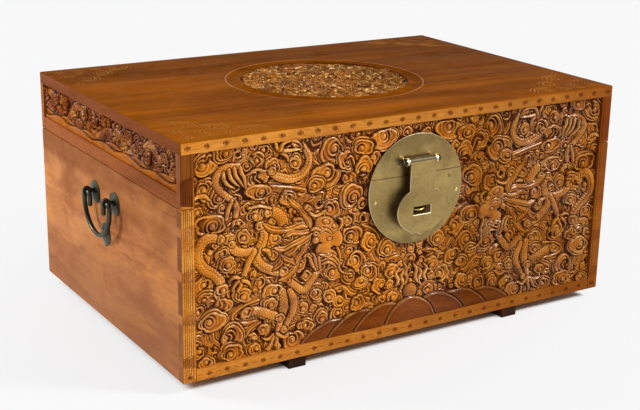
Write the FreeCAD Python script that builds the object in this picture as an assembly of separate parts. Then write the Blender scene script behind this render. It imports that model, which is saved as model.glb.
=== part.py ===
"""Carved camphor wood trunk with a hinged lid, a brass lock plate with a hasp, and two bail handles.

Millimetres, +Z up. The front faces -Y and +X is to the right. The model is drawn with its front face at
y = 0 and its feet at z = 0, and the last step centres the whole box of the object on the origin.
"""
import FreeCAD, Part
import math
import os

Vec = FreeCAD.Vector

# Carcass
trunk_width = 910.0
trunk_depth = 615.0
runner_height = 20.0
base_board_height = 298.0
lid_board_height = 90.0
lid_gap = 1.0
top_thickness = 20.0
front_thickness = 16.0
back_thickness = 16.0
side_thickness = 22.0
bottom_thickness = 18.0
base_edge_round = 1.5
lid_edge_round = 2.2
cut_overrun = 1.0

# Dovetails: the front and back boards carry the tails, the side boards the pins
base_pin_shares = (0.125, 0.375, 0.625, 0.875)
base_pin_height = 24.0
lid_pin_shares = (0.31,)
lid_pin_height = 50.0
pin_slope = 4.0

# Runners under the base
runner_width = 35.0
runner_spacing = 471.0
runner_setback = 4.0
runner_round = 1.5

# Carved fields, cut to the mean level of the carving
stile_width = 24.0
rail_height = 22.0
field_depth = 5.0
plate_boss_margin = 3.0
strip_depth = 4.0
strip_margin = 15.0
reed_band_height = 24.0
reed_count = 6
reed_groove_depth = 1.2
reed_edge = 1.0

# Overlapping petals and the pearl above them, at the foot of the front
petal_half_span = 236.0
petal_foot_shares = (0.245, 0.49, 0.74, 1.0)
petal_top_shares = (0.107, 0.335, 0.59, 0.8)
petal_height_shares = (1.0, 0.93, 0.86, 0.62)
petal_height = 43.0
petal_bow = 3.0
petal_step = 0.8
pearl_radius = 16.0
pearl_height = 77.0

# Main forms of the front carving, drawn for the left half of a front with this half width and height:
# x from its left end, z from its foot. A cloud has a radius, a coil goes through three places.
drawn_half_width = 458.0
drawn_height = 389.0
form_slope = 2.4
cloud_level = 1.0
coil_level = 1.4
cloud_places = (
    (42.0, 366.0, 18.0),
    (88.0, 378.0, 12.0),
    (153.0, 377.0, 12.0),
    (44.0, 326.0, 16.0),
    (137.0, 332.0, 15.0),
    (213.0, 346.0, 12.0),
    (290.0, 362.0, 20.0),
    (338.0, 378.0, 12.0),
    (389.0, 373.0, 18.0),
    (275.0, 321.0, 19.0),
    (350.0, 319.0, 17.0),
    (60.0, 268.0, 17.0),
    (282.0, 258.0, 15.0),
    (331.0, 271.0, 19.0),
    (279.0, 212.0, 23.0),
    (317.0, 234.0, 12.0),
    (76.0, 210.0, 13.0),
    (176.0, 196.0, 12.0),
    (329.0, 199.0, 18.0),
    (369.0, 187.0, 17.0),
    (336.0, 157.0, 18.0),
    (406.0, 160.0, 15.0),
    (36.0, 152.0, 15.0),
    (147.0, 148.0, 15.0),
    (290.0, 142.0, 18.0),
    (364.0, 124.0, 16.0),
    (415.0, 118.0, 13.0),
    (81.0, 122.0, 14.0),
    (48.0, 96.0, 17.0),
    (240.0, 92.0, 14.0),
    (284.0, 98.0, 14.0),
    (324.0, 95.0, 14.0),
    (392.0, 90.0, 13.0),
    (90.0, 68.0, 18.0),
    (144.0, 62.0, 14.0),
    (44.0, 44.0, 13.0),
    (104.0, 36.0, 12.0),
    (216.0, 38.0, 13.0),
    (441.0, 141.0, 10.0),
    (319.0, 339.0, 12.0),
    (352.0, 355.0, 12.0),
    (72.0, 304.0, 12.0),
    (175.0, 350.0, 11.0),
    (138.0, 266.0, 11.0),
    (340.0, 74.0, 11.0),
    (44.0, 122.0, 10.0),
)
coil_places = (
    ((168.0, 338.0), (196.0, 323.0), (224.0, 325.0), 7.0),
    ((226.0, 327.0), (240.0, 350.0), (228.0, 378.0), 6.0),
    ((104.0, 356.0), (76.0, 352.0), (68.0, 335.0), 6.0),
    ((69.0, 333.0), (80.0, 312.0), (104.0, 278.0), 5.5),
    ((158.0, 270.0), (185.0, 262.0), (192.0, 238.0), 9.0),
    ((72.0, 237.0), (44.0, 239.0), (36.0, 212.0), 8.0),
    ((36.0, 210.0), (50.0, 188.0), (77.0, 152.0), 8.0),
    ((152.0, 250.0), (157.0, 228.0), (147.0, 206.0), 8.0),
    ((146.0, 203.0), (152.0, 178.0), (190.0, 160.0), 7.5),
    ((94.0, 223.0), (108.0, 211.0), (137.0, 208.0), 7.0),
    ((137.0, 206.0), (126.0, 184.0), (114.0, 161.0), 5.0),
    ((118.0, 103.0), (150.0, 99.0), (186.0, 80.0), 8.0),
    ((209.0, 120.0), (213.0, 92.0), (198.0, 62.0), 6.5),
    ((191.0, 125.0), (193.0, 90.0), (180.0, 54.0), 6.5),
    ((202.0, 146.0), (228.0, 124.0), (262.0, 153.0), 6.0),
    ((204.0, 285.0), (234.0, 256.0), (244.0, 231.0), 4.5),
    ((242.0, 206.0), (226.0, 178.0), (202.0, 150.0), 4.5),
)

# Turned medallion in the top
medallion_radius = 190.0
medallion_rim = 3.0
cove_width = 23.0
cove_depth = 4.5
disc_rim = 3.0
disc_depth = 4.0

# Large curls of the medallion's disc, ring by ring inwards, as shares of the disc's radius, and its pearl
curl_counts = (21, 15, 9, 3)
curl_ring_shares = (0.87, 0.627, 0.391, 0.168)
curl_radius_shares = (0.091, 0.096, 0.094, 0.075)
curl_first_turn = 0.12
curl_ring_turn = 0.5
curl_sway_share = 0.2
curl_drift_share = 0.0186
curl_size_share = 0.1
disc_pearl_radius = 11.0

# Lock plate, slightly domed and split at the seam
plate_radius = 100.0
plate_thickness = 2.0
plate_dome = 3.0
plate_centre_below_seam = 27.0
plate_nail_radius = 3.2
plate_nail_dome = 1.4
plate_nail_shank = 1.5
plate_nail_length = 12.0
lower_nail_places = ((-87.0, -14.0), (87.0, -14.0), (70.0, 15.0))
upper_nail_places = ((-40.0, 47.0),)

# Hasp, its pin and the staple that it closes over
barrel_radius = 7.25
barrel_length = 56.0
barrel_gap = 0.6
hasp_pivot_above_seam = 27.0
hasp_thickness = 2.5
neck_width = 53.0
lobe_half_width = 52.5
lobe_half_height = 42.0
lobe_centre_drop = 88.0
scallop_radius = 10.0
scallop_drop = 3.5
side_scallop_radius = 8.5
side_scallop_spread = 18.0
slot_width = 37.0
slot_height = 15.0
hasp_hang_degrees = 1.0
lug_length = 4.5
lug_gap = 0.3
lug_foot_height = 9.0
lug_tenon_radius = 2.6
hasp_pin_radius = 3.0
hasp_pin_clearance = 0.06
finial_length = 9.5
finial_collar_radius = 5.8
finial_neck_radius = 3.6
finial_ball_radius = 4.9
finial_tip_radius = 1.6
finial_shares = (0.2, 0.35, 0.6, 0.84)
staple_bow_radius = 12.0
staple_wire_radius = 1.8
staple_gap = 0.5
staple_leg_depth = 10.0

# Side handles
eye_spacing = 87.0
eye_below_seam = 56.3
handle_centre_from_front = 307.5
bail_stand = 16.5
bail_rod_radius = 4.3
bail_bow_radius = 56.5
bail_bottom_drop = 69.2
hook_radius = 9.0
hook_straight = 8.0
hook_leg_drop = 26.0
eye_ring_width = 5.6
eye_ring_wall = 4.4
eye_clearance = 0.08
eye_shank_radius = 3.4
eye_shank_depth = 16.0
rose_radius = 21.0
rose_rim = 1.5
rose_dome = 4.5
rose_drop = 3.7
strike_radius = 20.0
strike_point_drop = 24.0
strike_drop = 71.0
strike_dome = 4.5

# Rear hinges
rear_hinge_spacing = 540.0
leaf_width = 70.0
leaf_height = 45.0
leaf_thickness = 1.8
knuckle_radius = 4.5
knuckle_wood_gap = 0.3
knuckle_count = 5
knuckle_end_gap = 0.4
knuckle_sweep_gap = 0.5
rear_pin_radius = 2.2
rear_pin_clearance = 0.05
rear_pin_head_radius = 3.8
rear_pin_head_length = 2.4
lid_opening_degrees = 100.0
stop_tongue_thickness = 2.0
stop_clearance = 0.25
screw_head_radius = 3.4
screw_head_dome = 1.5
screw_shank_radius = 1.7
screw_length = 13.0
screw_x_share = 0.36
screw_z_shares = (0.36, 0.78)

# Places worked out from the sizes above
half_width = trunk_width / 2
seam_low = runner_height + base_board_height
seam_high = seam_low + lid_gap
lid_boards_top = seam_high + lid_board_height
trunk_top = lid_boards_top + top_thickness
inner_half_width = half_width - side_thickness
inner_back = trunk_depth - back_thickness
plate_centre_z = seam_low - plate_centre_below_seam
disc_radius = medallion_radius - medallion_rim - cove_width - disc_rim
cap_sphere_radius = (plate_radius ** 2 + plate_dome ** 2) / (2 * plate_dome)
plate_crown = plate_dome + plate_thickness
pivot_z = seam_low + hasp_pivot_above_seam
pivot_y = -(plate_crown + barrel_gap + barrel_radius)
eye_z = seam_low - eye_below_seam
eye_x = -(half_width + bail_stand)
hinge_y = trunk_depth + knuckle_radius + knuckle_wood_gap
hinge_z = (seam_low + seam_high) / 2

pieces = {}


def block(x0, x1, y0, y1, z0, z1):
    """A box between two corners."""
    return Part.makeBox(x1 - x0, y1 - y0, z1 - z0, Vec(x0, y0, z0))


def rod_x(x0, x1, y, z, radius):
    """A cylinder along X."""
    return Part.makeCylinder(radius, x1 - x0, Vec(x0, y, z), Vec(1, 0, 0))


def rod_y(x, y0, y1, z, radius):
    """A cylinder along Y."""
    return Part.makeCylinder(radius, y1 - y0, Vec(x, y0, z), Vec(0, 1, 0))


def prism_xz(points, y0, y1):
    """A polygon of (x, z) points, carried from y0 to y1."""
    corners = [Vec(x, y0, z) for x, z in points]
    face = Part.Face(Part.makePolygon(corners + corners[:1]))
    return face.extrude(Vec(0, y1 - y0, 0))


def turned(edges, centre, axis):
    """The closed profile turned once round an axis."""
    return Part.Face(Part.Wire(edges)).revolve(centre, axis, 360)


def arc(a, b, c):
    """An arc from a through b to c."""
    return Part.Arc(a, b, c).toShape()


def line(a, b):
    """A straight edge from a to b."""
    return Part.LineSegment(a, b).toShape()


def fused(shapes):
    """Several overlapping solids joined into one piece."""
    whole = shapes[0]
    if len(shapes) > 1:
        whole = whole.multiFuse(shapes[1:])
    return whole.removeSplitter()


def mirrored(shape):
    """The same piece on the other side of the trunk."""
    return shape.mirror(Vec(0, 0, 0), Vec(1, 0, 0))


def domed_disc(radius, rim, dome):
    """A round plate that lies on the plane z = 0, with a straight rim and a domed face."""
    sphere_radius = (radius ** 2 + dome ** 2) / (2 * dome)
    half = radius / 2
    half_rise = math.sqrt(sphere_radius ** 2 - half ** 2) - (sphere_radius - dome)
    top = Vec(0, 0, rim + dome)
    edge = Vec(radius, 0, rim)
    profile = [
        line(Vec(0, 0, 0), Vec(radius, 0, 0)),
        line(Vec(radius, 0, 0), edge),
        arc(edge, Vec(half, 0, rim + half_rise), top),
        line(top, Vec(0, 0, 0)),
    ]
    return turned(profile, Vec(0, 0, 0), Vec(0, 0, 1))


def facing(shape, direction, place):
    """A piece drawn on z = 0 and facing +Z, turned to face a direction and moved to its place."""
    turned_shape = shape.copy()
    turn = FreeCAD.Rotation(Vec(0, 0, 1), direction)
    turned_shape.Placement = FreeCAD.Placement(place, turn)
    return turned_shape


def corner_pins(bottom, height, shares, pin_height):
    """The dovetail pins of one side board, in both thicknesses that they pass through."""
    outer = -half_width
    shoulder = outer + side_thickness
    pins = []
    for share in shares:
        middle = bottom + share * height
        wide = pin_height / 2
        narrow = wide - pin_slope
        outline = [
            (outer, middle - narrow),
            (outer, middle + narrow),
            (shoulder, middle + wide),
            (shoulder, middle - wide),
        ]
        pins.append(prism_xz(outline, 0, front_thickness))
        pins.append(prism_xz(outline, inner_back, trunk_depth))
    return pins


def rounded_blank(bottom, top, radius):
    """The outer form that all boards of the base or the lid are worked to."""
    blank = block(-half_width, half_width, 0, trunk_depth, bottom, top)
    return blank.makeFillet(radius, blank.Edges)


def four_boards(bottom, height, shares, pin_height, blank):
    """Front, back, left and right boards of one frame, dovetailed at the corners."""
    top = bottom + height
    left_pins = corner_pins(bottom, height, shares, pin_height)
    all_pins = left_pins + [mirrored(pin) for pin in left_pins]
    front = block(-half_width, half_width, 0, front_thickness, bottom, top).cut(all_pins)
    back = block(-half_width, half_width, inner_back, trunk_depth, bottom, top).cut(all_pins)
    left = block(-half_width, -inner_half_width, front_thickness, inner_back, bottom, top)
    left = fused([left] + left_pins)
    boards = [board.common(blank) for board in (front, back, left)]
    return boards + [mirrored(boards[2])]


def carved_field(bottom, top):
    """The space cut from a front board for its carving, which leaves a boss behind the lock plate."""
    half_field = half_width - stile_width
    field = block(-half_field, half_field, -cut_overrun, field_depth, bottom, top)
    boss_radius = plate_radius - plate_boss_margin
    boss = rod_y(0, -cut_overrun, field_depth + cut_overrun, plate_centre_z, boss_radius)
    return field.cut(boss)


def front_place(x, z):
    """A place of the drawn carving on this front."""
    height = lid_boards_top - runner_height
    return Vec((x / drawn_half_width - 1) * half_width, 0, runner_height + z / drawn_height * height)


def cloud_form(x, z, radius):
    """One large cloud, flat on top and wider at its foot."""
    foot = field_depth + cut_overrun
    place = front_place(x, z) + Vec(0, foot, 0)
    return Part.makeCone(radius, radius - form_slope, foot - cloud_level, place, Vec(0, -1, 0))


def coil_form(start, middle, stop, reach):
    """One bent length of a dragon, a band along the arc through three places."""
    ends = [front_place(*place) for place in (start, middle, stop)]
    centre = arc(*ends).Curve.Center

    def beside(place, shift):
        away = (place - centre).normalize()
        return place + away * shift

    outer = [beside(place, reach) for place in ends]
    inner = [beside(place, -reach) for place in ends]
    edges = [
        arc(*outer),
        line(outer[2], inner[2]),
        arc(inner[2], inner[1], inner[0]),
        line(inner[0], outer[0]),
    ]
    band = Part.Face(Part.Wire(edges)).extrude(Vec(0, field_depth + cut_overrun - coil_level, 0))
    band.translate(Vec(0, coil_level, 0))
    return band


def front_forms(bottom, top, blank):
    """The clouds and coils of both halves, cut off at the edges of the carved field of one board."""
    half_field = half_width - stile_width
    field = block(-half_field, half_field, 0, field_depth + cut_overrun, bottom, top).common(blank)
    left = [cloud_form(*row) for row in cloud_places] + [coil_form(*row) for row in coil_places]
    kept = []
    for form in left + [mirrored(form) for form in left]:
        if form.BoundBox.ZMin < top and form.BoundBox.ZMax > bottom:
            kept += form.common(field).Solids
    return kept


def petals():
    """Overlapping petals of the front's foot, each a slab that laps over the next one outwards."""
    foot = runner_height + rail_height
    feet = [share * petal_half_span for share in petal_foot_shares]
    tops = [share * petal_half_span for share in petal_top_shares]
    heights = [foot + share * petal_height for share in petal_height_shares]
    slabs = [petal(-feet[0], feet[0], tops[0], -tops[0], heights[0], heights[0], 0)]
    for number in range(1, len(feet)):
        right = petal(feet[number - 1], feet[number], tops[number], tops[number - 1],
                      heights[number], heights[number - 1], number)
        slabs += [right, mirrored(right)]
    return slabs


def petal(foot_0, foot_1, top_1, top_0, height_1, height_0, number):
    """One petal slab between two leaning sides, with a bowed upper edge."""
    level = number * petal_step
    foot = runner_height + rail_height
    corners = [
        Vec(top_0, 0, height_0),
        Vec(foot_0, 0, foot),
        Vec(foot_1, 0, foot),
        Vec(top_1, 0, height_1),
    ]
    bow = (corners[0] + corners[3]) / 2 + Vec(0, 0, petal_bow)
    edges = [line(start, stop) for start, stop in zip(corners, corners[1:])]
    edges.append(arc(corners[3], bow, corners[0]))
    slab = Part.Face(Part.Wire(edges)).extrude(Vec(0, field_depth + cut_overrun - level, 0))
    slab.translate(Vec(0, level, 0))
    return slab


def pearl():
    """The ball above the petals, half sunk in the ground of the carving."""
    ball = Part.makeSphere(pearl_radius, Vec(0, field_depth, runner_height + pearl_height))
    keep = block(-pearl_radius, pearl_radius, cut_overrun, field_depth + cut_overrun,
                 runner_height, seam_low)
    return ball.common(keep)


def side_strip():
    """The space cut from the left lid board for its carved strip, and the grooves of the reeded band."""
    outer = -half_width
    band_top = seam_high + reed_band_height
    cuts = [block(outer - cut_overrun, outer + strip_depth, strip_margin, trunk_depth - strip_margin,
                  band_top, lid_boards_top + cut_overrun)]
    pitch = (reed_band_height - reed_edge) / reed_count
    for number in range(reed_count):
        middle = band_top - reed_edge - (number + 0.5) * pitch
        outline = [
            (outer - cut_overrun, middle - reed_groove_depth - cut_overrun),
            (outer - cut_overrun, middle + reed_groove_depth + cut_overrun),
            (outer + reed_groove_depth, middle),
        ]
        cuts.append(prism_xz(outline, strip_margin, trunk_depth - strip_margin))
    return cuts


def medallion_cut():
    """The turned recess in the top: a rim, a cove and the sunk disc."""
    above = trunk_top + cut_overrun
    cove_outer = medallion_radius - medallion_rim
    cove_inner = cove_outer - cove_width
    floor = trunk_top - disc_depth
    cove_a = Vec(cove_inner, 0, trunk_top)
    cove_b = Vec((cove_inner + cove_outer) / 2, 0, trunk_top - cove_depth)
    cove_c = Vec(cove_outer, 0, trunk_top)
    cove = [arc(cove_a, cove_b, cove_c), line(cove_c, cove_a)]
    disc = [
        line(Vec(0, 0, floor), Vec(disc_radius, 0, floor)),
        line(Vec(disc_radius, 0, floor), Vec(disc_radius, 0, above)),
        line(Vec(disc_radius, 0, above), Vec(0, 0, above)),
        line(Vec(0, 0, above), Vec(0, 0, floor)),
    ]
    cuts = [turned(outline, Vec(0, 0, 0), Vec(0, 0, 1)) for outline in (cove, disc)]
    for cut in cuts:
        cut.translate(Vec(0, trunk_depth / 2, 0))
    return cuts


def disc_form(out, turn, radius):
    """One large curl of the medallion's disc, flat on top and wider at its foot."""
    rise = disc_depth + cut_overrun - cloud_level
    middle = Vec(0, trunk_depth / 2, trunk_top - disc_depth - cut_overrun)
    place = middle + Vec(out * math.cos(turn), out * math.sin(turn), 0)
    return Part.makeCone(radius, radius - form_slope, rise, place, Vec(0, 0, 1))


def disc_forms():
    """The curls in their rings, each a little off its even place, and the pearl amid them."""
    forms = [disc_form(0, 0, disc_pearl_radius)]
    for ring, count in enumerate(curl_counts):
        for number in range(count):
            sway = math.sin(2.3 * number + 1.7 * ring)
            even = 2 * math.pi * (number + curl_sway_share * sway) / count
            turn = curl_first_turn + curl_ring_turn * ring + even
            drift = curl_drift_share * math.cos(3.1 * number + ring)
            radius = disc_radius * curl_radius_shares[ring] * (1 + curl_size_share * sway)
            forms.append(disc_form(disc_radius * (curl_ring_shares[ring] + drift), turn, radius))
    return forms


def nail(radius, dome, shank_radius, length):
    """A round-headed nail or screw that faces +Z, with its head's underside at z = 0."""
    head = domed_disc(radius, dome / 3, dome * 2 / 3)
    shank = Part.makeCylinder(shank_radius, length, Vec(0, 0, -length), Vec(0, 0, 1))
    return fused([head, shank])


def cap_height(distance):
    """How far the back of the domed lock plate stands off the wood at a distance from its centre."""
    flat_part = cap_sphere_radius - plate_dome
    return math.sqrt(cap_sphere_radius ** 2 - distance ** 2) - flat_part


def cap_edges(offset):
    """Profile edges of the lock plate's dome, standing off by the offset."""
    half = plate_radius / 2
    centre = Vec(0, 0, cap_height(0) + offset)
    middle = Vec(half, 0, cap_height(half) + offset)
    rim = Vec(plate_radius, 0, cap_height(plate_radius) + offset)
    return centre, middle, rim


def lock_plate():
    """The domed plate, and the solid that fills all space under its face."""
    back_centre, back_middle, back_rim = cap_edges(0)
    face_centre, face_middle, face_rim = cap_edges(plate_thickness)
    shell = [
        arc(back_centre, back_middle, back_rim),
        line(back_rim, face_rim),
        arc(face_rim, face_middle, face_centre),
        line(face_centre, back_centre),
    ]
    under = [
        arc(face_centre, face_middle, face_rim),
        line(face_rim, Vec(plate_radius, 0, 0)),
        line(Vec(plate_radius, 0, 0), Vec(0, 0, 0)),
        line(Vec(0, 0, 0), face_centre),
    ]
    solids = [turned(edges, Vec(0, 0, 0), Vec(0, 0, 1)) for edges in (shell, under)]
    centre = Vec(0, 0, plate_centre_z)
    return [facing(solid, Vec(0, -1, 0), centre) for solid in solids]


def plate_nails(places):
    """Nails in the lock plate at (x, z) places from its centre, square to the front."""
    nails = []
    for x, z in places:
        stand = cap_height(math.hypot(x, z)) + plate_thickness
        one = nail(plate_nail_radius, plate_nail_dome, plate_nail_shank, plate_nail_length)
        nails.append(facing(one, Vec(0, -1, 0), Vec(x, -stand, plate_centre_z + z)))
    return nails


def hasp_lugs(under_plate):
    """The two ears that hold the hasp pin, each with a foot on the plate and a tenon through it."""
    near = barrel_length / 2 + lug_gap
    lugs = []
    for x0 in (near, -near - lug_length):
        x1 = x0 + lug_length
        ring = rod_x(x0, x1, pivot_y, pivot_z, barrel_radius)
        foot = block(x0, x1, pivot_y, 0, pivot_z - lug_foot_height / 2, pivot_z + lug_foot_height / 2)
        middle = (x0 + x1) / 2
        body = fused([ring, foot]).cut(under_plate)
        tenon_x = min(lug_tenon_radius, lug_length / 2)
        tenon = block(middle - tenon_x, middle + tenon_x, pivot_y, staple_leg_depth,
                      pivot_z - lug_tenon_radius, pivot_z + lug_tenon_radius)
        body = fused([body, tenon])
        bore = rod_x(x0 - cut_overrun, x1 + cut_overrun, pivot_y, pivot_z,
                     hasp_pin_radius + hasp_pin_clearance)
        lugs.append(body.cut(bore))
    return lugs


def finial():
    """One turned end of the hasp pin, which grows from z = 0 along +Z."""
    collar_end, neck_end, ball_middle, ball_end = [share * finial_length for share in finial_shares]
    corners = [
        Vec(0, 0, 0),
        Vec(finial_collar_radius, 0, 0),
        Vec(finial_collar_radius, 0, collar_end),
        Vec(finial_neck_radius, 0, collar_end),
        Vec(finial_neck_radius, 0, neck_end),
    ]
    ball_stop = Vec(finial_tip_radius, 0, ball_end)
    tip_rim = Vec(finial_tip_radius, 0, finial_length)
    tip = Vec(0, 0, finial_length)
    edges = [line(start, stop) for start, stop in zip(corners, corners[1:])]
    edges.append(arc(corners[-1], Vec(finial_ball_radius, 0, ball_middle), ball_stop))
    edges += [line(ball_stop, tip_rim), line(tip_rim, tip), line(tip, corners[0])]
    return turned(edges, Vec(0, 0, 0), Vec(0, 0, 1))


def hasp_pin():
    """The hasp's pin, with a turned finial at each end."""
    reach = barrel_length / 2 + lug_gap + lug_length
    shaft = rod_x(-reach, reach, pivot_y, pivot_z, hasp_pin_radius)
    right = facing(finial(), Vec(1, 0, 0), Vec(reach, pivot_y, pivot_z))
    return fused([shaft, right, mirrored(right)])


def hasp():
    """The hasp: a barrel on the pin, a neck, a round lobe with a scalloped foot and a slot."""
    face_y = pivot_y - barrel_radius
    back_y = face_y + hasp_thickness
    lobe_z = pivot_z - lobe_centre_drop
    foot_z = lobe_z - lobe_half_height
    barrel = rod_x(-barrel_length / 2, barrel_length / 2, pivot_y, pivot_z, barrel_radius)
    neck = block(-neck_width / 2, neck_width / 2, face_y, back_y, lobe_z, pivot_z)
    ellipse = Part.Ellipse(Vec(0, 0, 0), lobe_half_width, lobe_half_height).toShape()
    lobe = Part.Face(Part.Wire([ellipse])).extrude(Vec(0, 0, hasp_thickness))
    lobe = facing(lobe, Vec(0, -1, 0), Vec(0, back_y, lobe_z))
    scallop_z = foot_z + scallop_radius - scallop_drop
    parts = [barrel, neck, lobe, rod_y(0, face_y, back_y, scallop_z, scallop_radius)]
    side_z = foot_z + side_scallop_radius
    for x in (-side_scallop_spread, side_scallop_spread):
        parts.append(rod_y(x, face_y, back_y, side_z, side_scallop_radius))
    slot = block(-slot_width / 2, slot_width / 2, face_y - cut_overrun, back_y + cut_overrun,
                 lobe_z - slot_height / 2, lobe_z + slot_height / 2)
    bore = rod_x(-barrel_length, barrel_length, pivot_y, pivot_z, hasp_pin_radius + hasp_pin_clearance)
    piece = fused(parts).cut([slot, bore])
    piece.rotate(Vec(0, pivot_y, pivot_z), Vec(1, 0, 0), -hasp_hang_degrees)
    return piece


def staple():
    """The loop that passes through the slot when the hasp is pressed in, with two legs in the wood."""
    hang = math.radians(hasp_hang_degrees)
    inner_face = -pivot_y + (barrel_radius - hasp_thickness) * math.cos(hang)
    inner_face = inner_face + lobe_centre_drop * math.sin(hang)
    bow_y = -(inner_face - staple_gap - staple_wire_radius - staple_bow_radius)
    z = pivot_z - lobe_centre_drop
    left = Vec(-staple_bow_radius, bow_y, z)
    right = Vec(staple_bow_radius, bow_y, z)
    bow_path = Part.Wire([arc(left, Vec(0, bow_y - staple_bow_radius, z), right)])
    section = Part.Wire([Part.Circle(left, Vec(0, 1, 0), staple_wire_radius).toShape()])
    bow = bow_path.makePipeShell([section], True, False)
    legs = [rod_y(x, bow_y, staple_leg_depth, z, staple_wire_radius)
            for x in (-staple_bow_radius, staple_bow_radius)]
    return fused([bow] + legs)


def bail():
    """The left handle: a round bow whose ends hook over into the two eyes."""
    middle = handle_centre_from_front
    bow_z = eye_z - bail_bottom_drop + bail_bow_radius
    hook_z = eye_z - hook_radius
    front_eye = middle - eye_spacing / 2
    half_flat = hook_straight / 2
    inner = front_eye + half_flat + hook_radius
    outer = front_eye - half_flat - hook_radius
    bow_radius = middle - outer
    lean = hook_radius * math.sqrt(0.5)
    tip = Vec(eye_x, inner, eye_z - hook_leg_drop + bail_rod_radius)
    path = [
        line(tip, Vec(eye_x, inner, hook_z)),
        arc(Vec(eye_x, inner, hook_z),
            Vec(eye_x, front_eye + half_flat + lean, hook_z + lean),
            Vec(eye_x, front_eye + half_flat, eye_z)),
        line(Vec(eye_x, front_eye + half_flat, eye_z), Vec(eye_x, front_eye - half_flat, eye_z)),
        arc(Vec(eye_x, front_eye - half_flat, eye_z),
            Vec(eye_x, front_eye - half_flat - lean, hook_z + lean),
            Vec(eye_x, outer, hook_z)),
        line(Vec(eye_x, outer, hook_z), Vec(eye_x, outer, bow_z)),
        arc(Vec(eye_x, outer, bow_z),
            Vec(eye_x, middle - bow_radius * math.sqrt(0.5), bow_z - bow_radius * math.sqrt(0.5)),
            Vec(eye_x, middle, bow_z - bow_radius)),
    ]
    section = Part.Wire([Part.Circle(tip, Vec(0, 0, 1), bail_rod_radius).toShape()])
    half = Part.Wire(path).makePipeShell([section], True, False)
    end = Part.makeSphere(bail_rod_radius, tip)
    half = fused([half, end])
    other = half.mirror(Vec(0, middle, 0), Vec(0, 1, 0))
    return fused([half, other])


def eye(y):
    """An eye bolt of the left handle: a ring round the bail and a shank through rose and board."""
    ring_radius = bail_rod_radius + eye_clearance + eye_ring_wall
    y0 = y - eye_ring_width / 2
    y1 = y + eye_ring_width / 2
    ring = rod_y(eye_x, y0, y1, eye_z, ring_radius)
    shank_start = eye_x + bail_rod_radius + eye_ring_wall / 2
    shank_end = -half_width + eye_shank_depth
    shank = rod_x(shank_start, shank_end, y, eye_z, eye_shank_radius)
    hole = rod_y(eye_x, y0 - cut_overrun, y1 + cut_overrun, eye_z, bail_rod_radius + eye_clearance)
    return fused([ring, shank]).cut(hole)


def strike_plate():
    """The drop-shaped plate that the bail's bow lies over."""
    disc = domed_disc(strike_radius, rose_rim, strike_dome)
    side = strike_radius * math.sqrt(1 - (strike_radius / strike_point_drop) ** 2)
    touch = strike_radius ** 2 / strike_point_drop
    point = [Vec(-side, -touch, 0), Vec(0, -strike_point_drop, 0), Vec(side, -touch, 0)]
    tail = Part.Face(Part.makePolygon(point + point[:1])).extrude(Vec(0, 0, rose_rim))
    return fused([disc, tail])


def side_fittings():
    """Rose, eye and strike pieces of the left handle, by name."""
    wall = -half_width
    outwards = Vec(-1, 0, 0)
    fittings = {}
    for name, sign in (("front", -1), ("rear", 1)):
        y = handle_centre_from_front + sign * eye_spacing / 2
        bolt = eye(y)
        disc = domed_disc(rose_radius, rose_rim, rose_dome)
        rose = facing(disc, outwards, Vec(wall, y, eye_z - rose_drop)).cut(bolt)
        fittings[name + "_eye"] = bolt
        fittings[name + "_rose"] = rose
    plate = strike_plate()
    turn = FreeCAD.Rotation(Vec(0, -1, 0), Vec(0, 0, 1), outwards)
    plate.Placement = FreeCAD.Placement(Vec(wall, handle_centre_from_front, eye_z - strike_drop), turn)
    fittings["strike_plate"] = plate
    return fittings


def hinge_leaf(x, upwards):
    """One leaf of a rear hinge, with its knuckles and, on the lid's leaf, the stop tongues."""
    sign = 1 if upwards else -1
    x0 = x - leaf_width / 2
    x1 = x + leaf_width / 2
    far = hinge_z + sign * leaf_height
    plate = block(x0, x1, trunk_depth, trunk_depth + leaf_thickness, min(hinge_z, far), max(hinge_z, far))
    pitch = leaf_width / knuckle_count
    own_first = 1 if upwards else 0
    parts = [plate]
    relief = []
    sweep = knuckle_radius + knuckle_sweep_gap
    for number in range(knuckle_count):
        k0 = x0 + number * pitch
        k1 = k0 + pitch
        if number % 2 == own_first:
            parts.append(rod_x(k0 + knuckle_end_gap / 2, k1 - knuckle_end_gap / 2,
                               hinge_y, hinge_z, knuckle_radius))
            if upwards:
                parts.append(stop_tongue(k0 + knuckle_end_gap, k1 - knuckle_end_gap))
        else:
            relief.append(block(k0 - knuckle_end_gap / 2, k1 + knuckle_end_gap / 2,
                                trunk_depth, trunk_depth + leaf_thickness,
                                hinge_z - sweep, hinge_z + sweep))
    bore = rod_x(x0 - cut_overrun, x1 + cut_overrun, hinge_y, hinge_z, rear_pin_radius + rear_pin_clearance)
    parts[0] = plate.cut(relief)
    return fused(parts).cut(bore)


def stop_tongue(x0, x1):
    """A tongue behind a lid knuckle that meets the base leaf when the lid is fully open."""
    past_upright = math.radians(lid_opening_degrees - 90)
    room = hinge_y - trunk_depth - leaf_thickness - stop_clearance
    reach = (room - stop_tongue_thickness / 2 * math.cos(past_upright)) / math.sin(past_upright)
    start = rear_pin_radius + rear_pin_clearance
    return block(x0, x1, hinge_y + start, hinge_y + reach,
                 hinge_z - stop_tongue_thickness / 2, hinge_z + stop_tongue_thickness / 2)


def rear_pin(x):
    """A rear hinge pin with a domed head at each end."""
    reach = leaf_width / 2
    shaft = rod_x(x - reach, x + reach, hinge_y, hinge_z, rear_pin_radius)
    head = domed_disc(rear_pin_head_radius, rear_pin_head_length / 3, rear_pin_head_length * 2 / 3)
    right = facing(head, Vec(1, 0, 0), Vec(x + reach, hinge_y, hinge_z))
    left = facing(head, Vec(-1, 0, 0), Vec(x - reach, hinge_y, hinge_z))
    return fused([shaft, left, right])


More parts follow.
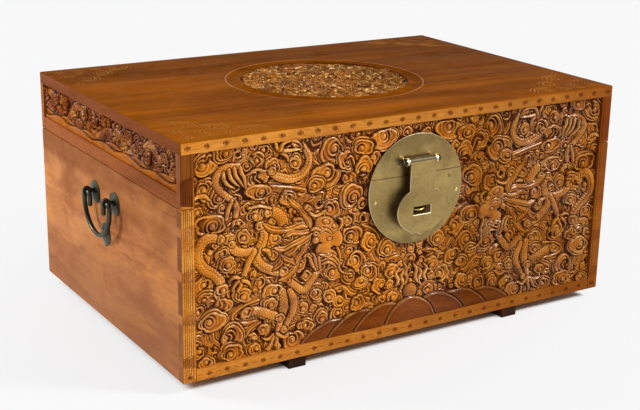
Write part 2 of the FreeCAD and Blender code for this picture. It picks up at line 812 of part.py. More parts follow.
def leaf_screws(x, upwards):
    """Four round-headed screws of one hinge leaf."""
    sign = 1 if upwards else -1
    screws = []
    for side in (-1, 1):
        for share in screw_z_shares:
            place = Vec(x + side * screw_x_share * leaf_width, trunk_depth + leaf_thickness,
                        hinge_z + sign * share * leaf_height)
            one = nail(screw_head_radius, screw_head_dome, screw_shank_radius, screw_length)
            screws.append(facing(one, Vec(0, 1, 0), place))
    return screws


def carcass():
    """Boards, planks and runners."""
    base_blank = rounded_blank(runner_height, seam_low, base_edge_round)
    names = ("front", "back", "left", "right")
    base = four_boards(runner_height, base_board_height, base_pin_shares, base_pin_height, base_blank)
    for name, board in zip(names, base):
        pieces["base_" + name + "_board"] = board
    rail_top = runner_height + rail_height
    front = pieces["base_front_board"].cut(carved_field(rail_top, seam_low + cut_overrun))
    forms = front_forms(rail_top, seam_low, base_blank)
    pieces["base_front_board"] = fused([front] + forms + petals() + [pearl()])

    lid_blank = rounded_blank(seam_high, trunk_top, lid_edge_round)
    lid = four_boards(seam_high, lid_board_height, lid_pin_shares, lid_pin_height, lid_blank)
    lid_front = lid[0].cut(carved_field(seam_high - cut_overrun, lid_boards_top + cut_overrun))
    lid[0] = fused([lid_front] + front_forms(seam_high, lid_boards_top, lid_blank))
    lid[2] = lid[2].cut(side_strip())
    lid[3] = mirrored(lid[2])
    for name, board in zip(names, lid):
        pieces["lid_" + name + "_board"] = board

    plank_names = ("front", "middle", "rear")
    medallion = medallion_cut()
    curls = disc_forms()
    plank_depth = trunk_depth / len(plank_names)
    floor_depth = (inner_back - front_thickness) / len(plank_names)
    for number, name in enumerate(plank_names):
        y0 = number * plank_depth
        plank = block(-half_width, half_width, y0, y0 + plank_depth, lid_boards_top, trunk_top)
        own_curls = [solid for curl in curls for solid in curl.common(plank).Solids]
        pieces["top_plank_" + name] = fused([plank.common(lid_blank).cut(medallion)] + own_curls)
        y0 = front_thickness + number * floor_depth
        pieces["bottom_plank_" + name] = block(-inner_half_width, inner_half_width, y0, y0 + floor_depth,
                                               runner_height, runner_height + bottom_thickness)

    runner = block(-runner_spacing / 2 - runner_width / 2, -runner_spacing / 2 + runner_width / 2,
                   runner_setback, trunk_depth - runner_setback, 0, runner_height)
    runner = runner.makeFillet(runner_round, [edge for edge in runner.Edges if lies_low(edge)])
    pieces["left_runner"] = runner
    pieces["right_runner"] = mirrored(runner)


def lies_low(edge):
    """Whether an edge of a runner doesn't touch the base."""
    return edge.BoundBox.ZMin < runner_height / 2


def lock():
    """Lock plate, nails, staple, hasp, lugs and pin."""
    plate, under_plate = lock_plate()
    reach = plate_radius + cut_overrun
    above = block(-reach, reach, -reach, reach, seam_high, seam_high + 2 * reach)
    below = block(-reach, reach, -reach, reach, seam_low - 2 * reach, seam_low)
    lower_nails = plate_nails(lower_nail_places)
    upper_nails = plate_nails(upper_nail_places)
    lugs = hasp_lugs(under_plate)
    loop = staple()
    pieces["lock_plate_lower"] = plate.common(below).cut(lower_nails + [loop])
    pieces["lock_plate_upper"] = plate.common(above).cut(upper_nails + lugs)
    pieces["base_front_board"] = pieces["base_front_board"].cut(lower_nails + [loop])
    pieces["lid_front_board"] = pieces["lid_front_board"].cut(upper_nails + lugs)
    pieces["lock_plate_nails_lower"] = Part.makeCompound(lower_nails)
    pieces["lock_plate_nails_upper"] = Part.makeCompound(upper_nails)
    pieces["hasp_lugs"] = Part.makeCompound(lugs)
    pieces["hasp_pin"] = hasp_pin()
    pieces["hasp"] = hasp()
    pieces["hasp_staple"] = loop


def handles():
    """Both side handles and the holes for their eyes."""
    fittings = side_fittings()
    eyes = [fittings["front_eye"], fittings["rear_eye"]]
    pieces["base_left_board"] = pieces["base_left_board"].cut(eyes)
    pieces["base_right_board"] = pieces["base_right_board"].cut([mirrored(one) for one in eyes])
    fittings["bail"] = bail()
    for name, shape in fittings.items():
        pieces["left_" + name] = shape
        pieces["right_" + name] = mirrored(shape)


def rear_hinges():
    """Two butt hinges on the back, with their pins and screws."""
    all_screws = {"base": [], "lid": []}
    for name, x in (("left", -rear_hinge_spacing / 2), ("right", rear_hinge_spacing / 2)):
        for part, upwards in (("base", False), ("lid", True)):
            screws = leaf_screws(x, upwards)
            pieces[name + "_rear_hinge_" + part + "_leaf"] = hinge_leaf(x, upwards).cut(screws)
            all_screws[part] += screws
        pieces[name + "_rear_hinge_pin"] = rear_pin(x)
    for part, screws in all_screws.items():
        pieces["rear_hinge_screws_" + part] = Part.makeCompound(screws)
        pieces[part + "_back_board"] = pieces[part + "_back_board"].cut(screws)


def centred_pieces():
    """Every piece, moved so that the box of the whole object is centred on the origin in Y."""
    boxes = [shape.optimalBoundingBox(False, False) for shape in pieces.values()]
    front = min(box.YMin for box in boxes)
    back = max(box.YMax for box in boxes)
    shift = -(front + back) / 2
    print("front face of the boards at y = %.3f" % shift)
    print("lid hinge axis at y = %.3f, z = %.3f" % (hinge_y + shift, hinge_z))
    print("hasp pivot at y = %.3f, z = %.3f" % (pivot_y + shift, pivot_z))
    print("left bail axis at x = %.3f, z = %.3f" % (eye_x, eye_z))
    for name, shape in pieces.items():
        moved = shape.copy()
        moved.translate(Vec(0, shift, 0))
        yield name, moved


carcass()
lock()
handles()
rear_hinges()
os.makedirs("parts", exist_ok=True)
for node, shape in centred_pieces():
    shape.exportStep("parts/" + node + ".step")
    print("%-32s %2d solid(s), %10.1f cubic mm" % (node, len(shape.Solids), shape.Volume))
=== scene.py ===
"""Looks of the carved camphor wood trunk: relief carving, woods, brass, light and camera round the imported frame."""
import math

import bmesh
import bpy
import numpy as np
from mathutils import Matrix, Vector


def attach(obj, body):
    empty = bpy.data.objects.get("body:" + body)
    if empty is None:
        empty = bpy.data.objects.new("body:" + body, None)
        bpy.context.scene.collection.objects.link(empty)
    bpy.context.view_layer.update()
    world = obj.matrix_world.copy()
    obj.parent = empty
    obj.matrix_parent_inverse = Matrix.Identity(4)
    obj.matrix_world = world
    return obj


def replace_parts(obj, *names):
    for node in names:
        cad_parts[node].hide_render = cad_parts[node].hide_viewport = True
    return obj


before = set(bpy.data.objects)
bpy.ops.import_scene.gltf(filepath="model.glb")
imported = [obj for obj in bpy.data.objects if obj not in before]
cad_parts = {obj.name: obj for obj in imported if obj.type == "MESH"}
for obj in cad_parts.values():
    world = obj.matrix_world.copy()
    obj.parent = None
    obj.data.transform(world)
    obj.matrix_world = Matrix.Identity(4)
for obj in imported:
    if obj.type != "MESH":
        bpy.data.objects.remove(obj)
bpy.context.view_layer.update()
MM = 0.001

# Places in millimetres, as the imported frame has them
FRONT_FACE = -303.768
BACK_FACE = 311.232
MIDDLE_DEPTH = (FRONT_FACE + BACK_FACE) / 2
HALF_WIDTH = 455.0
FOOT_OF_BOARDS = 20.0
RAIL_TOP = 42.0
SEAM_LOW = 318.0
SEAM_HIGH = 319.0
LID_BOARDS_TOP = 409.0
TRUNK_TOP = 429.0
STILE_EDGE = 431.0
TICKED_STILE_X = 440.0
PLATE_CENTRE_Z = 291.0
PLATE_RADIUS = 100.0
SLOT_CENTRE_Z = 257.0
STAMP_PITCH = 34.0
TOP_STAMP_Z = 418.5
FOOT_STAMP_Z = 30.5


# Node work shared by every material
def seen(red, green, blue):
    """A colour given as it looks on screen, 0 to 255, in the linear values of the shaders."""
    def linear(value):
        value /= 255.0
        return value / 12.92 if value <= 0.04045 else ((value + 0.055) / 1.055) ** 2.4
    return (linear(red), linear(green), linear(blue), 1.0)


class Wire:
    """A value in a node tree. Arithmetic on it adds the nodes that work it out."""

    def __init__(self, tree, socket):
        self.tree, self.socket = tree, socket

    def sum(self, operation, *others):
        return put(self.tree, "ShaderNodeMath", dict(enumerate((self,) + others)), operation=operation)[0]

    def __add__(self, other):
        return self.sum("ADD", other)

    def __sub__(self, other):
        return self.sum("SUBTRACT", other)

    def __mul__(self, other):
        return self.sum("MULTIPLY", other)

    def __abs__(self):
        return self.sum("ABSOLUTE")

    def ramp(self, low, high, to_low=0.0, to_high=1.0, kind="SMOOTHSTEP"):
        """The value taken from one span to another and held there."""
        feeds = {"Value": self, "From Min": low, "From Max": high, "To Min": to_low, "To Max": to_high}
        return put(self.tree, "ShaderNodeMapRange", feeds, interpolation_type=kind, clamp=True)[0]

    def vector_sum(self, operation, output, *others):
        return put(self.tree, "ShaderNodeVectorMath", dict(enumerate((self,) + others)), operation=operation)[output]

    def axes(self):
        """The three values of a place."""
        return put(self.tree, "ShaderNodeSeparateXYZ", {0: self})


class Outputs:
    """The outputs of a node as wires, by name or number."""

    def __init__(self, node):
        self.node = node

    def __getitem__(self, key):
        return Wire(self.node.id_data, self.node.outputs[key])


def feed(socket, value):
    """Joins a wire to an input, or sets the input to a plain value."""
    if isinstance(value, Wire):
        value.tree.links.new(value.socket, socket)
    else:
        socket.default_value = value


def put(tree, kind, feeds=None, **settings):
    """A node in a tree, with its inputs fed by name or number."""
    made = tree.nodes.new(kind)
    for name, value in settings.items():
        setattr(made, name, value)
    for name, value in (feeds or {}).items():
        feed(made.inputs[name], value)
    return Outputs(made)


def blend(share, first, second):
    """Two colours laid over each other."""
    return put(share.tree, "ShaderNodeMix", {0: share, 6: first, 7: second}, data_type="RGBA", clamp_factor=True)[2]


def noise(place, scale, detail=3.0, roughness=0.55, warp=0.0):
    """Values between 0 and 1 that wander over the piece, at one scale or one for each axis."""
    if isinstance(scale, tuple):
        place, scale = place.vector_sum("MULTIPLY", 0, scale), 1.0
    feeds = {"Vector": place, "Scale": scale, "Detail": detail, "Roughness": roughness, "Distortion": warp}
    return put(place.tree, "ShaderNodeTexNoise", feeds)["Fac"]


def joined(tree, *values):
    """A place put together from its values."""
    return put(tree, "ShaderNodeCombineXYZ", dict(enumerate(values)))[0]


# Effects that several materials share, as node groups
SOCKETS = {"value": "NodeSocketFloat", "colour": "NodeSocketColor", "vector": "NodeSocketVector"}


def new_group(name, inputs, outputs):
    """A shader node group with named sockets, and its inputs as wires."""
    group = bpy.data.node_groups.new(name, "ShaderNodeTree")
    for way, sockets in (("INPUT", inputs), ("OUTPUT", outputs)):
        for label, kind in sockets.items():
            group.interface.new_socket(name=label, in_out=way, socket_type=SOCKETS[kind])
    return group, put(group, "NodeGroupInput")


def camphor_grain():
    """Grain that runs along X: broad figure, fibres, dark pores and a slow drift of tone."""
    inputs = {"Place": "vector", "Pale": "colour", "Deep": "colour",
              "Figure": "value", "Fibres": "value", "Pores": "value"}
    group, given = new_group("camphor grain", inputs, {"Colour": "colour", "Height": "value"})
    place = given["Place"]
    sway = (noise(place, (1.2, 2.5, 2.5), 2.0) - 0.5) * 0.16
    x, y, z = place.axes()
    bent = joined(group, x, y + sway, z + sway)
    figure = noise(bent, (1.6, 26.0, 26.0), 5.0, 0.62, 0.4)
    fibres = noise(bent, (14.0, 520.0, 520.0), 3.0, 0.6)
    drift = noise(place, (2.1, 3.7, 3.7), 3.0, 0.6)
    pores = noise(bent, (55.0, 900.0, 900.0), 1.0, 0.5).ramp(0.66, 0.74) * given["Pores"]
    mix = (figure - 0.5) * given["Figure"] * 1.9 + 0.5 + (fibres - 0.5) * given["Fibres"] * 0.7 + (drift - 0.5) * 1.1
    colour = blend(mix.ramp(0.0, 1.0, kind="LINEAR"), given["Deep"], given["Pale"])
    colour = blend(pores, colour, seen(62, 30, 10))
    put(group, "NodeGroupOutput", {"Colour": colour, "Height": figure * 0.5 + fibres - pores * 0.7})
    return group


def handling_wear():
    """Blotches, rubbed patches, small dents and fine scratches left by use."""
    outputs = {"Blotch": "value", "Rubbed": "value", "Specks": "value", "Scratches": "value"}
    group, given = new_group("handling wear", {"Place": "vector", "Size": "value"}, outputs)
    place = put(group, "ShaderNodeVectorMath", {0: given["Place"], "Scale": given["Size"]}, operation="SCALE")[0]
    put(group, "NodeGroupOutput", {
        "Blotch": noise(place, 7.0, 4.0, 0.6, 0.3),
        "Rubbed": noise(place, 19.0, 5.0, 0.65).ramp(0.5, 0.68),
        "Specks": noise(place, 260.0, 2.0, 0.6).ramp(0.7, 0.78),
        "Scratches": abs(noise(place, (9.0, 9.0, 9.0), 2.0, 0.5, 6.0) - 0.5).ramp(0.0, 0.006, 1.0, 0.0),
    })
    return group


def brass_patina():
    """Brass that has gone olive brown in patches, with darker freckles and rubbed places."""
    inputs = {"Place": "vector", "Clean": "colour", "Aged": "colour", "Dark": "colour", "Age": "value"}
    group, given = new_group("brass patina", inputs, {"Colour": "colour", "Roughness": "value", "Height": "value"})
    place, dark = given["Place"], given["Dark"]
    cloudy = noise(place, 13.0, 4.0, 0.55, 0.4)
    fine = noise(place, 170.0, 4.0, 0.65)
    aged = (fine * 0.3 + cloudy * 0.7 + (given["Age"] - 0.5) * 0.7).ramp(0.25, 0.8)
    stains = noise(place, 46.0, 5.0, 0.7, 0.9).ramp(0.57, 0.75)
    freckles = noise(place, 620.0, 2.0, 0.6).ramp(0.68, 0.8)
    colour = blend(stains * 0.45, blend(aged, given["Clean"], given["Aged"]), dark)
    put(group, "NodeGroupOutput", {
        "Colour": blend(freckles * 0.4, colour, dark),
        "Roughness": aged * 0.16 + fine * 0.14 + 0.22,
        "Height": cloudy * 0.7 + fine - freckles * 0.4,
    })
    return group


GRAIN = camphor_grain()
WEAR = handling_wear()
PATINA = brass_patina()


# Materials
WAXED_SPECULAR = 0.015
TOP_SPECULAR = 0.004
AXIS_ORDER = {"x": (0, 1, 2), "y": (1, 0, 2), "z": (2, 1, 0)}


class Finish:
    """A material in the making, with its shader, the place on the piece and the colour so far."""

    def __init__(self, name):
        self.material = bpy.data.materials.new(name)
        self.material.use_nodes = True
        self.tree = self.material.node_tree
        self.tree.nodes.clear()
        self.shader = put(self.tree, "ShaderNodeBsdfPrincipled")
        self.end = put(self.tree, "ShaderNodeOutputMaterial", {"Surface": self.shader[0]}).node
        self.place = put(self.tree, "ShaderNodeTexCoord")["Object"]

    def set(self, values):
        """Feeds or sets inputs of the shader."""
        for name, value in values.items():
            feed(self.shader.node.inputs[name], value)

    def paint(self, colour):
        self.colour = colour
        self.set({"Base Color": colour})

    def over(self, share, *tone):
        """Lays a tone, as it looks on screen, over the colour so far."""
        self.paint(blend(share, self.colour, seen(*tone)))

    def noise(self, *how):
        return noise(self.place, *how)

    def group(self, group, **feeds):
        """A shared effect at this material's own values."""
        return put(self.tree, "ShaderNodeGroup", feeds, node_tree=group)

    def grain(self, axis, pale, deep, figure, pores, fibres=1.0):
        """Wood grain that runs along one axis of the trunk, away from the tree's heart."""
        values = self.place.axes()
        turned = joined(self.tree, *(values[number] for number in AXIS_ORDER[axis]))
        return self.group(GRAIN, Place=turned, Pale=seen(*pale), Deep=seen(*deep), Figure=figure, Fibres=fibres,
                          Pores=pores)

    def mark(self, name):
        """A number that a piece's mesh carries."""
        return put(self.tree, "ShaderNodeAttribute", attribute_name=name, attribute_type="GEOMETRY")["Fac"]

    def bump(self, height, strength, distance):
        """Fine relief on the shader's normal."""
        feeds = {"Height": height, "Strength": strength, "Distance": distance}
        self.set({"Normal": put(self.tree, "ShaderNodeBump", feeds)["Normal"]})


def wood(name, axis, pale, deep, figure=1.0, pores=0.5, rough=(0.34, 0.5), coat=0.01, blotch=(120, 62, 26),
         blotched=0.3, fibres=1.0):
    """Waxed camphor: grain, blotches, rubbed gloss and a fine uneven surface."""
    made = Finish(name)
    grain = made.grain(axis, pale, deep, figure, pores, fibres)
    wear = made.group(WEAR, Place=made.place, Size=1.0)
    made.paint(grain["Colour"])
    made.over(wear["Blotch"].ramp(0.42, 0.72) * blotched, *blotch)
    made.over(wear["Specks"] * 0.5, 58, 28, 12)
    dull = wear["Rubbed"] * 0.5 + wear["Blotch"] * 0.5
    made.set({"Roughness": dull.ramp(0.15, 0.75, *rough), "Coat Weight": coat, "Coat Roughness": 0.22,
              "Specular IOR Level": WAXED_SPECULAR})
    made.bump(grain["Height"] - (wear["Specks"] * 0.8 + wear["Scratches"] * 0.5), 0.35, 0.00018)
    return made


def waxed_top():
    """The top's planks: honey brown with long dark streaks; darker to the right and to the back and lighter at the
    front left as painted shade and painted light, with painted shade in the corner ornaments' cuts and painted
    highlights on their edges.
    """
    made = wood("waxed camphor top", "x", (164, 88, 4), (100, 48, 0), 1.15, 0.7, coat=0.0,
                blotch=(86, 40, 2), blotched=0.35)
    x, y, _ = made.place.axes()
    # Painted shade and light: darker towards the back and right, lighter at the front left.
    far = (made.noise(3.0) - 0.5) * 0.35 + (y * 0.55 + x * 0.4)
    made.over(far.ramp(-0.3, 0.36, 0.0, 0.66), 80, 42, 8)
    made.over(far.ramp(-0.42, -0.16, 0.3, 0.0), 196, 112, 10)
    made.over(made.noise((1.1, 34.0, 1.0), 4.0, 0.7, 0.5).ramp(0.58, 0.72, 0.0, 0.34), 74, 34, 8)
    # Painted shade in the cut lines of the corner ornaments, and painted highlights on their edges.
    made.over(made.mark("hollow") * 0.75, 58, 26, 6)
    made.over(made.mark("crest") * 0.8, 220, 152, 76)
    made.set({"Specular IOR Level": TOP_SPECULAR})
    return made


def frame_wood(name, axis, pale, deep, fibres=1.0):
    """The front's frame: tan on the left, darker brown to the right as painted shade, stained round the stamps of its
    two rows.
    """
    made = wood(name, axis, pale, deep, fibres=fibres)
    x, _, z = made.place.axes()
    half_pitch = 0.5 * STAMP_PITCH * MM
    top_row, foot_row = (abs(z - row * MM) for row in (TOP_STAMP_Z, FOOT_STAMP_Z))
    reach = joined(made.tree, x.sum("WRAP", -half_pitch, half_pitch), top_row.sum("MINIMUM", foot_row))
    reach = reach.vector_sum("LENGTH", "Value")
    ragged = (made.noise(300.0, 2.0) - 0.5) * 0.006 + reach
    made.over(ragged.ramp(0.0015, 0.0065, 0.5, 0.0), 146, 72, 32)
    ticks = made.noise((700.0, 1.0, 260.0), 1.0).ramp(0.55, 0.68, 0.0, 0.8)
    stile = abs(x + TICKED_STILE_X * MM).ramp(0.003, 0.004, 1.0, 0.0) * z.ramp(SEAM_LOW * MM, SEAM_HIGH * MM, 1.0, 0.0)
    made.over(ticks * stile, 244, 190, 116)
    # Painted shade: the frame grows darker towards the right.
    tone = (made.noise(9.0) - 0.5) * 0.4 + x
    made.over(tone.ramp(-0.42, 0.46, 0.0, 0.9, "LINEAR"), 104, 46, 6)
    return made


def shaded_sides():
    """The plain sides: paler halfway up, browner under the lid, with slow dark clouds."""
    made = wood("camphor sides", "y", (208, 140, 86), (158, 94, 52), 1.1, 0.4, (0.36, 0.52), 0.0)
    height = (made.noise((1.0, 5.0, 9.0), 3.0, 0.6, 0.5) - 0.5) * 0.22 + made.place.axes()[2]
    slow = made.noise((1.0, 7.0, 16.0), 4.0, 0.62, 0.8)
    made.over(slow.ramp(0.5, 0.68, 0.0, 0.55), 146, 80, 44)
    made.over(slow.ramp(0.34, 0.48, 0.5, 0.0), 214, 140, 66)
    made.over(made.noise((1.0, 5.0, 90.0), 4.0, 0.7, 0.4).ramp(0.56, 0.7, 0.0, 0.45), 116, 60, 28)
    made.over(height.ramp(0.2, 0.34, 0.0, 0.7), 106, 54, 16)
    made.over(height.ramp(0.03, 0.2, 0.62, 0.0), 142, 92, 62)
    return made


def carved_wood(name, pale, deep, shade_and_dirt_tone, wear_and_highlight_tone, plain_pale, plain_deep, axis="x", waxing=1.0):
    """Carved camphor: golden on the rounded forms, near black in the hollows as dirt and painted shade, pale on the
    crests as wear and painted highlight, and darker towards the right as painted shade.
    """
    made = Finish(name)
    grain = made.grain(axis, pale, deep, 0.9, 0.35)
    smooth_grain = made.grain(axis, plain_pale, plain_deep, 1.2, 0.5)
    wear = made.group(WEAR, Place=made.place, Size=1.6)
    hollow, crest, plain = made.mark("hollow"), made.mark("crest"), made.mark("plain")
    made.paint(blend(plain, grain["Colour"], smooth_grain["Colour"]))
    made.over(wear["Blotch"].ramp(0.45, 0.7) * 0.34, 128, 62, 26)
    fine = made.noise(340.0, 3.0, 0.6)
    # Pale crests: partly real wear, partly a painted highlight where the raised edges catch the light.
    worn = (wear["Rubbed"] * 0.5 + fine).ramp(0.35, 0.95, 0.25, 0.9) * crest * (plain * -0.5 + 1.0)
    made.over(worn, *wear_and_highlight_tone)
    patchy = made.noise(26.0, 3.0, 0.6, 0.6)
    made.over(patchy.ramp(0.34, 0.5, 0.35, 0.0) * (plain * -1.0 + 1.0), 232, 158, 62)
    made.over(patchy.ramp(0.5, 0.66, 0.0, 0.5), 120, 56, 12)
    # Painted shade: the carving grows darker towards the right.
    made.over(made.place.axes()[0].ramp(-0.06, 0.16, 0.0, 0.5), 74, 34, 6)
    # Dark hollows: partly dirt in the recesses, partly painted shade.
    ragged = (fine - 0.5) * 0.35 + hollow
    made.over(ragged.ramp(0.05, 0.75, 0.0, 0.95, "LINEAR"), *shade_and_dirt_tone)
    waxed = wear["Blotch"].ramp(0.4, 0.58) * (crest * waxing + 0.12 * waxing)
    made.set({"Roughness": wear["Rubbed"] * 0.12 + (hollow * 0.3 + 0.27), "Coat Weight": waxed, "Coat Roughness": 0.17,
              "Specular IOR Level": WAXED_SPECULAR})
    made.bump(grain["Height"] * 0.6 + made.noise(900.0, 2.0, 0.6), 0.4, 0.00022)
    return made


def disc_wood():
    """The carved disc: honey brown, with darker and redder curls, and small bright spots on the crests that are
    painted highlights.
    """
    made = carved_wood("carved medallion", (186, 106, 18), (134, 66, 4), (40, 18, 2), (228, 164, 84),
                       (176, 98, 44), (112, 54, 18), waxing=0.45)
    made.over(made.noise(46.0, 2.0, 0.6).ramp(0.46, 0.6, 0.0, 0.7), 92, 44, 12)
    # Painted highlights: small bright spots, most of them on the crests.
    made.over(made.noise(120.0, 2.0, 0.6).ramp(0.56, 0.66) * (made.mark("crest") * 1.2 + 0.1), 244, 196, 120)
    return made


def metal(name, clean, aged, dark, age, dulled=0.0):
    """Old metal with patina."""
    made = Finish(name)
    skin = made.group(PATINA, Place=made.place, Clean=seen(*clean), Aged=seen(*aged), Dark=seen(*dark), Age=age)
    scratches = made.group(WEAR, Place=made.place, Size=6.0)["Scratches"]
    made.paint(skin["Colour"])
    made.over(scratches * 0.25, *clean)
    made.set({"Roughness": skin["Roughness"] + dulled, "Metallic": 1.0})
    made.bump(skin["Height"] - scratches * 0.5, 0.3, 0.0002)
    return made


def plate_brass():
    """The lock plate's olive brass: browner along its top and foot, and dark behind the hasp's slot, a painted shadow
    there.
    """
    made = metal("aged olive brass", (192, 166, 106), (142, 118, 70), (84, 60, 34), 0.58)
    x, _, z = made.place.axes()
    cloudy = (made.noise(22.0, 3.0, 0.6, 0.6) - 0.5) * 0.11 + z
    made.over(cloudy.ramp(0.325, 0.385, 0.0, 0.62), 104, 82, 46)
    made.over(cloudy.ramp(0.196, 0.226, 0.5, 0.0), 96, 76, 48)
    # Painted shadow: the plate seen through the hasp's slot is dark.
    slot_shadow = abs(x).ramp(0.0175, 0.0195, 0.95, 0.0) * abs(z - SLOT_CENTRE_Z * MM).ramp(0.0075, 0.0095, 1.0, 0.0)
    made.over(slot_shadow, 26, 18, 10)
    return made


# Carving: height fields in millimetres, worked form by form, later forms over earlier ones.
# x runs to the right from the middle of the panel, z runs up, and height 0 is the face of the board.
SAMPLE = 0.5
GROUND = -10.4
LOWEST = -10.8
FAR = 60.0
TINY = 1e-6
MOAT_WIDTH = 3.0
MOAT_DEPTH = 3.6
PIT_FLOOR = -9.8
FACE_LIMIT = -0.1
ECHO_RING = 5.6
LIP_WIDTH = 1.7
DISH_DEPTH = 2.6


def smooth(value):
    """An easy step from 0 to 1."""
    step = np.clip(value, 0.0, 1.0)
    return step * step * (3.0 - 2.0 * step)


def rounded(share, fullness=1.0):
    """How far a rounded form falls away from its crown, 0 in the middle and 1 at the rim."""
    return 1.0 - np.sqrt(np.clip(1.0 - fullness * share ** 2, 0.0, 1.0))


def oval(px, pz, x, z, width, height, tilt=0.0):
    """How far out places lie in a tilted oval, 1 at its rim."""
    dx, dz = px - x, pz - z
    u = dx * math.cos(tilt) + dz * math.sin(tilt)
    v = dz * math.cos(tilt) - dx * math.sin(tilt)
    return np.hypot(u / width, v / height)


def polar(x, z, reach, turn):
    """The point at a distance and in a direction from another."""
    return x + reach * math.cos(turn), z + reach * math.sin(turn)


def blurred(field, radius):
    """The field after three box means of a radius in samples."""
    size = 2 * radius + 1
    for _ in range(3):
        for axis in (0, 1):
            pad = [(0, 0), (0, 0)]
            pad[axis] = (radius + 1, radius)
            total = np.cumsum(np.pad(field, pad, mode="edge"), axis=axis)
            ahead = np.take(total, range(size, total.shape[axis]), axis=axis)
            behind = np.take(total, range(0, total.shape[axis] - size), axis=axis)
            field = (ahead - behind) / size
    return field


def spline(points, steps=9):
    """Points along a smooth line through the given ones."""
    knots = np.array(points, float)
    knots = np.vstack([2 * knots[0] - knots[1], knots, 2 * knots[-1] - knots[-2]])
    share = np.linspace(0.0, 1.0, steps, endpoint=False)[:, None]
    runs = []
    for a, b, c, d in zip(knots, knots[1:], knots[2:], knots[3:]):
        bend = 2 * b + (c - a) * share + (2 * a - 5 * b + 4 * c - d) * share ** 2
        runs.append(0.5 * (bend + (3 * b - a - 3 * c + d) * share ** 3))
    return np.vstack(runs + [knots[-2:-1]])


class Carving:
    """One panel's height field."""

    def __init__(self, left, right, low, high, ground=GROUND):
        self.left, self.low = left, low
        self.columns = int(round((right - left) / SAMPLE)) + 1
        self.rows = int(round((high - low) / SAMPLE)) + 1
        self.height = np.full((self.rows, self.columns), ground)
        self.plain = np.zeros((self.rows, self.columns))

    def window(self, x0, x1, z0, z1):
        """The part of the field inside a box, with its coordinates."""
        c0 = max(0, int((x0 - self.left) / SAMPLE))
        c1 = min(self.columns, int((x1 - self.left) / SAMPLE) + 2)
        r0 = max(0, int((z0 - self.low) / SAMPLE))
        r1 = min(self.rows, int((z1 - self.low) / SAMPLE) + 2)
        area = slice(r0, r1), slice(c0, c1)
        return (area, *self.places(area))

    def around(self, x, z, reach):
        """The window that reaches equally far to all sides of a place."""
        return self.window(x - reach, x + reach, z - reach, z + reach)

    def places(self, area):
        """The coordinates of a part of the field."""
        rows, columns = area
        xs = self.left + SAMPLE * np.arange(columns.start, columns.stop)
        zs = self.low + SAMPLE * np.arange(rows.start, rows.stop)
        return np.meshgrid(xs, zs)

    def lay(self, area, gap, form, moat=MOAT_WIDTH, depth=MOAT_DEPTH):
        """Lays a form over the field. gap is the distance to its outline, less than zero inside."""
        below = self.height[area]
        undercut = below - depth * (1.0 - smooth(gap / moat))
        self.height[area] = np.where(gap < 0, form, np.where(gap < moat, np.minimum(below, undercut), below))


def cloud(sheet, x, z, radius, stretch=1.0, tilt=0.0, spin=1, lobes=4, turn=0.0, level=-1.4, echoes=1, lean=0.05):
    """A cloud scroll: a ball, a spiral with a deep crescent, a dished face, a lobed rim and crescents beside it."""
    reach = radius * max(stretch, 1.0) * 1.35 + echoes * ECHO_RING + MOAT_WIDTH + 1
    area, px, pz = sheet.around(x, z, reach)
    dx, dz = px - x, pz - z
    theta = np.arctan2(dz, dx)
    real = np.hypot(dx, dz) + TINY
    ox, oz = dx - 0.2 * radius * math.cos(turn), dz - 0.2 * radius * math.sin(turn)
    u = ox * math.cos(tilt) + oz * math.sin(tilt)
    v = oz * math.cos(tilt) - ox * math.sin(tilt)
    flat = np.hypot(u / stretch, v) + TINY
    around = np.arctan2(v, u / stretch)
    lobed = np.abs(np.cos(lobes * (around - turn) / 2)) ** 0.8
    swell = 0.18 + 0.09 * np.sin(2 * around + 3 * turn)
    outline = radius * (0.82 + swell * lobed + 0.09 * np.cos(around - turn))
    gap = (flat - outline) * (np.hypot(u, v) + TINY) / flat
    slope = lean * (dx * math.cos(5 * turn) + dz * math.sin(5 * turn))
    band = ECHO_RING * (0.12 + 0.88 * (0.5 + 0.5 * np.cos(theta - turn - 1.1)))
    for echo in range(echoes, 0, -1):
        inside = band * echo - gap
        across = np.clip(inside / band, 0.0, 1.0)
        falls = 2.2 * np.maximum(across - 0.3, 0.0) + 2.6 * np.maximum(0.3 - across, 0.0) / 0.3
        ridge = level - 1.4 * echo - falls + slope
        sheet.lay(area, -inside, np.maximum(ridge, LOWEST))
    inside = -gap
    ball = max(2.8, 0.19 * radius)
    core = ball + 0.5 * radius
    pitch = max(6.2, 0.34 * radius)
    phase = (real - ball) / pitch - spin * (theta - turn) / (2 * math.pi)
    trough = np.sqrt(np.sin(math.pi * phase) ** 2 + 0.004)
    crescent = (0.5 + 0.5 * np.cos(theta - turn - 2.2)) ** 1.4
    fade = 1.0 - smooth((real - core) / (0.9 * pitch))
    dish = DISH_DEPTH * smooth((inside - LIP_WIDTH) / (0.16 * radius + 2.4))
    scroll = (1.6 + 4.6 * crescent) * trough
    face = dish * (1.0 - fade) + (scroll + 0.35) * fade * smooth((inside - LIP_WIDTH) / 2.4)
    shoulder = 3.4 * rounded(1.0 - np.clip(inside / LIP_WIDTH, 0.0, 1.0))
    form = level - shoulder - face + slope
    dome = 3.6 * np.sqrt(np.clip(1.0 - (real / (ball + 0.9)) ** 2, 0.0, 1.0))
    form = np.where(real < ball + 0.9, np.maximum(form, level - 3.2 + dome + slope), form)
    sheet.lay(area, gap, np.maximum(form, LOWEST))


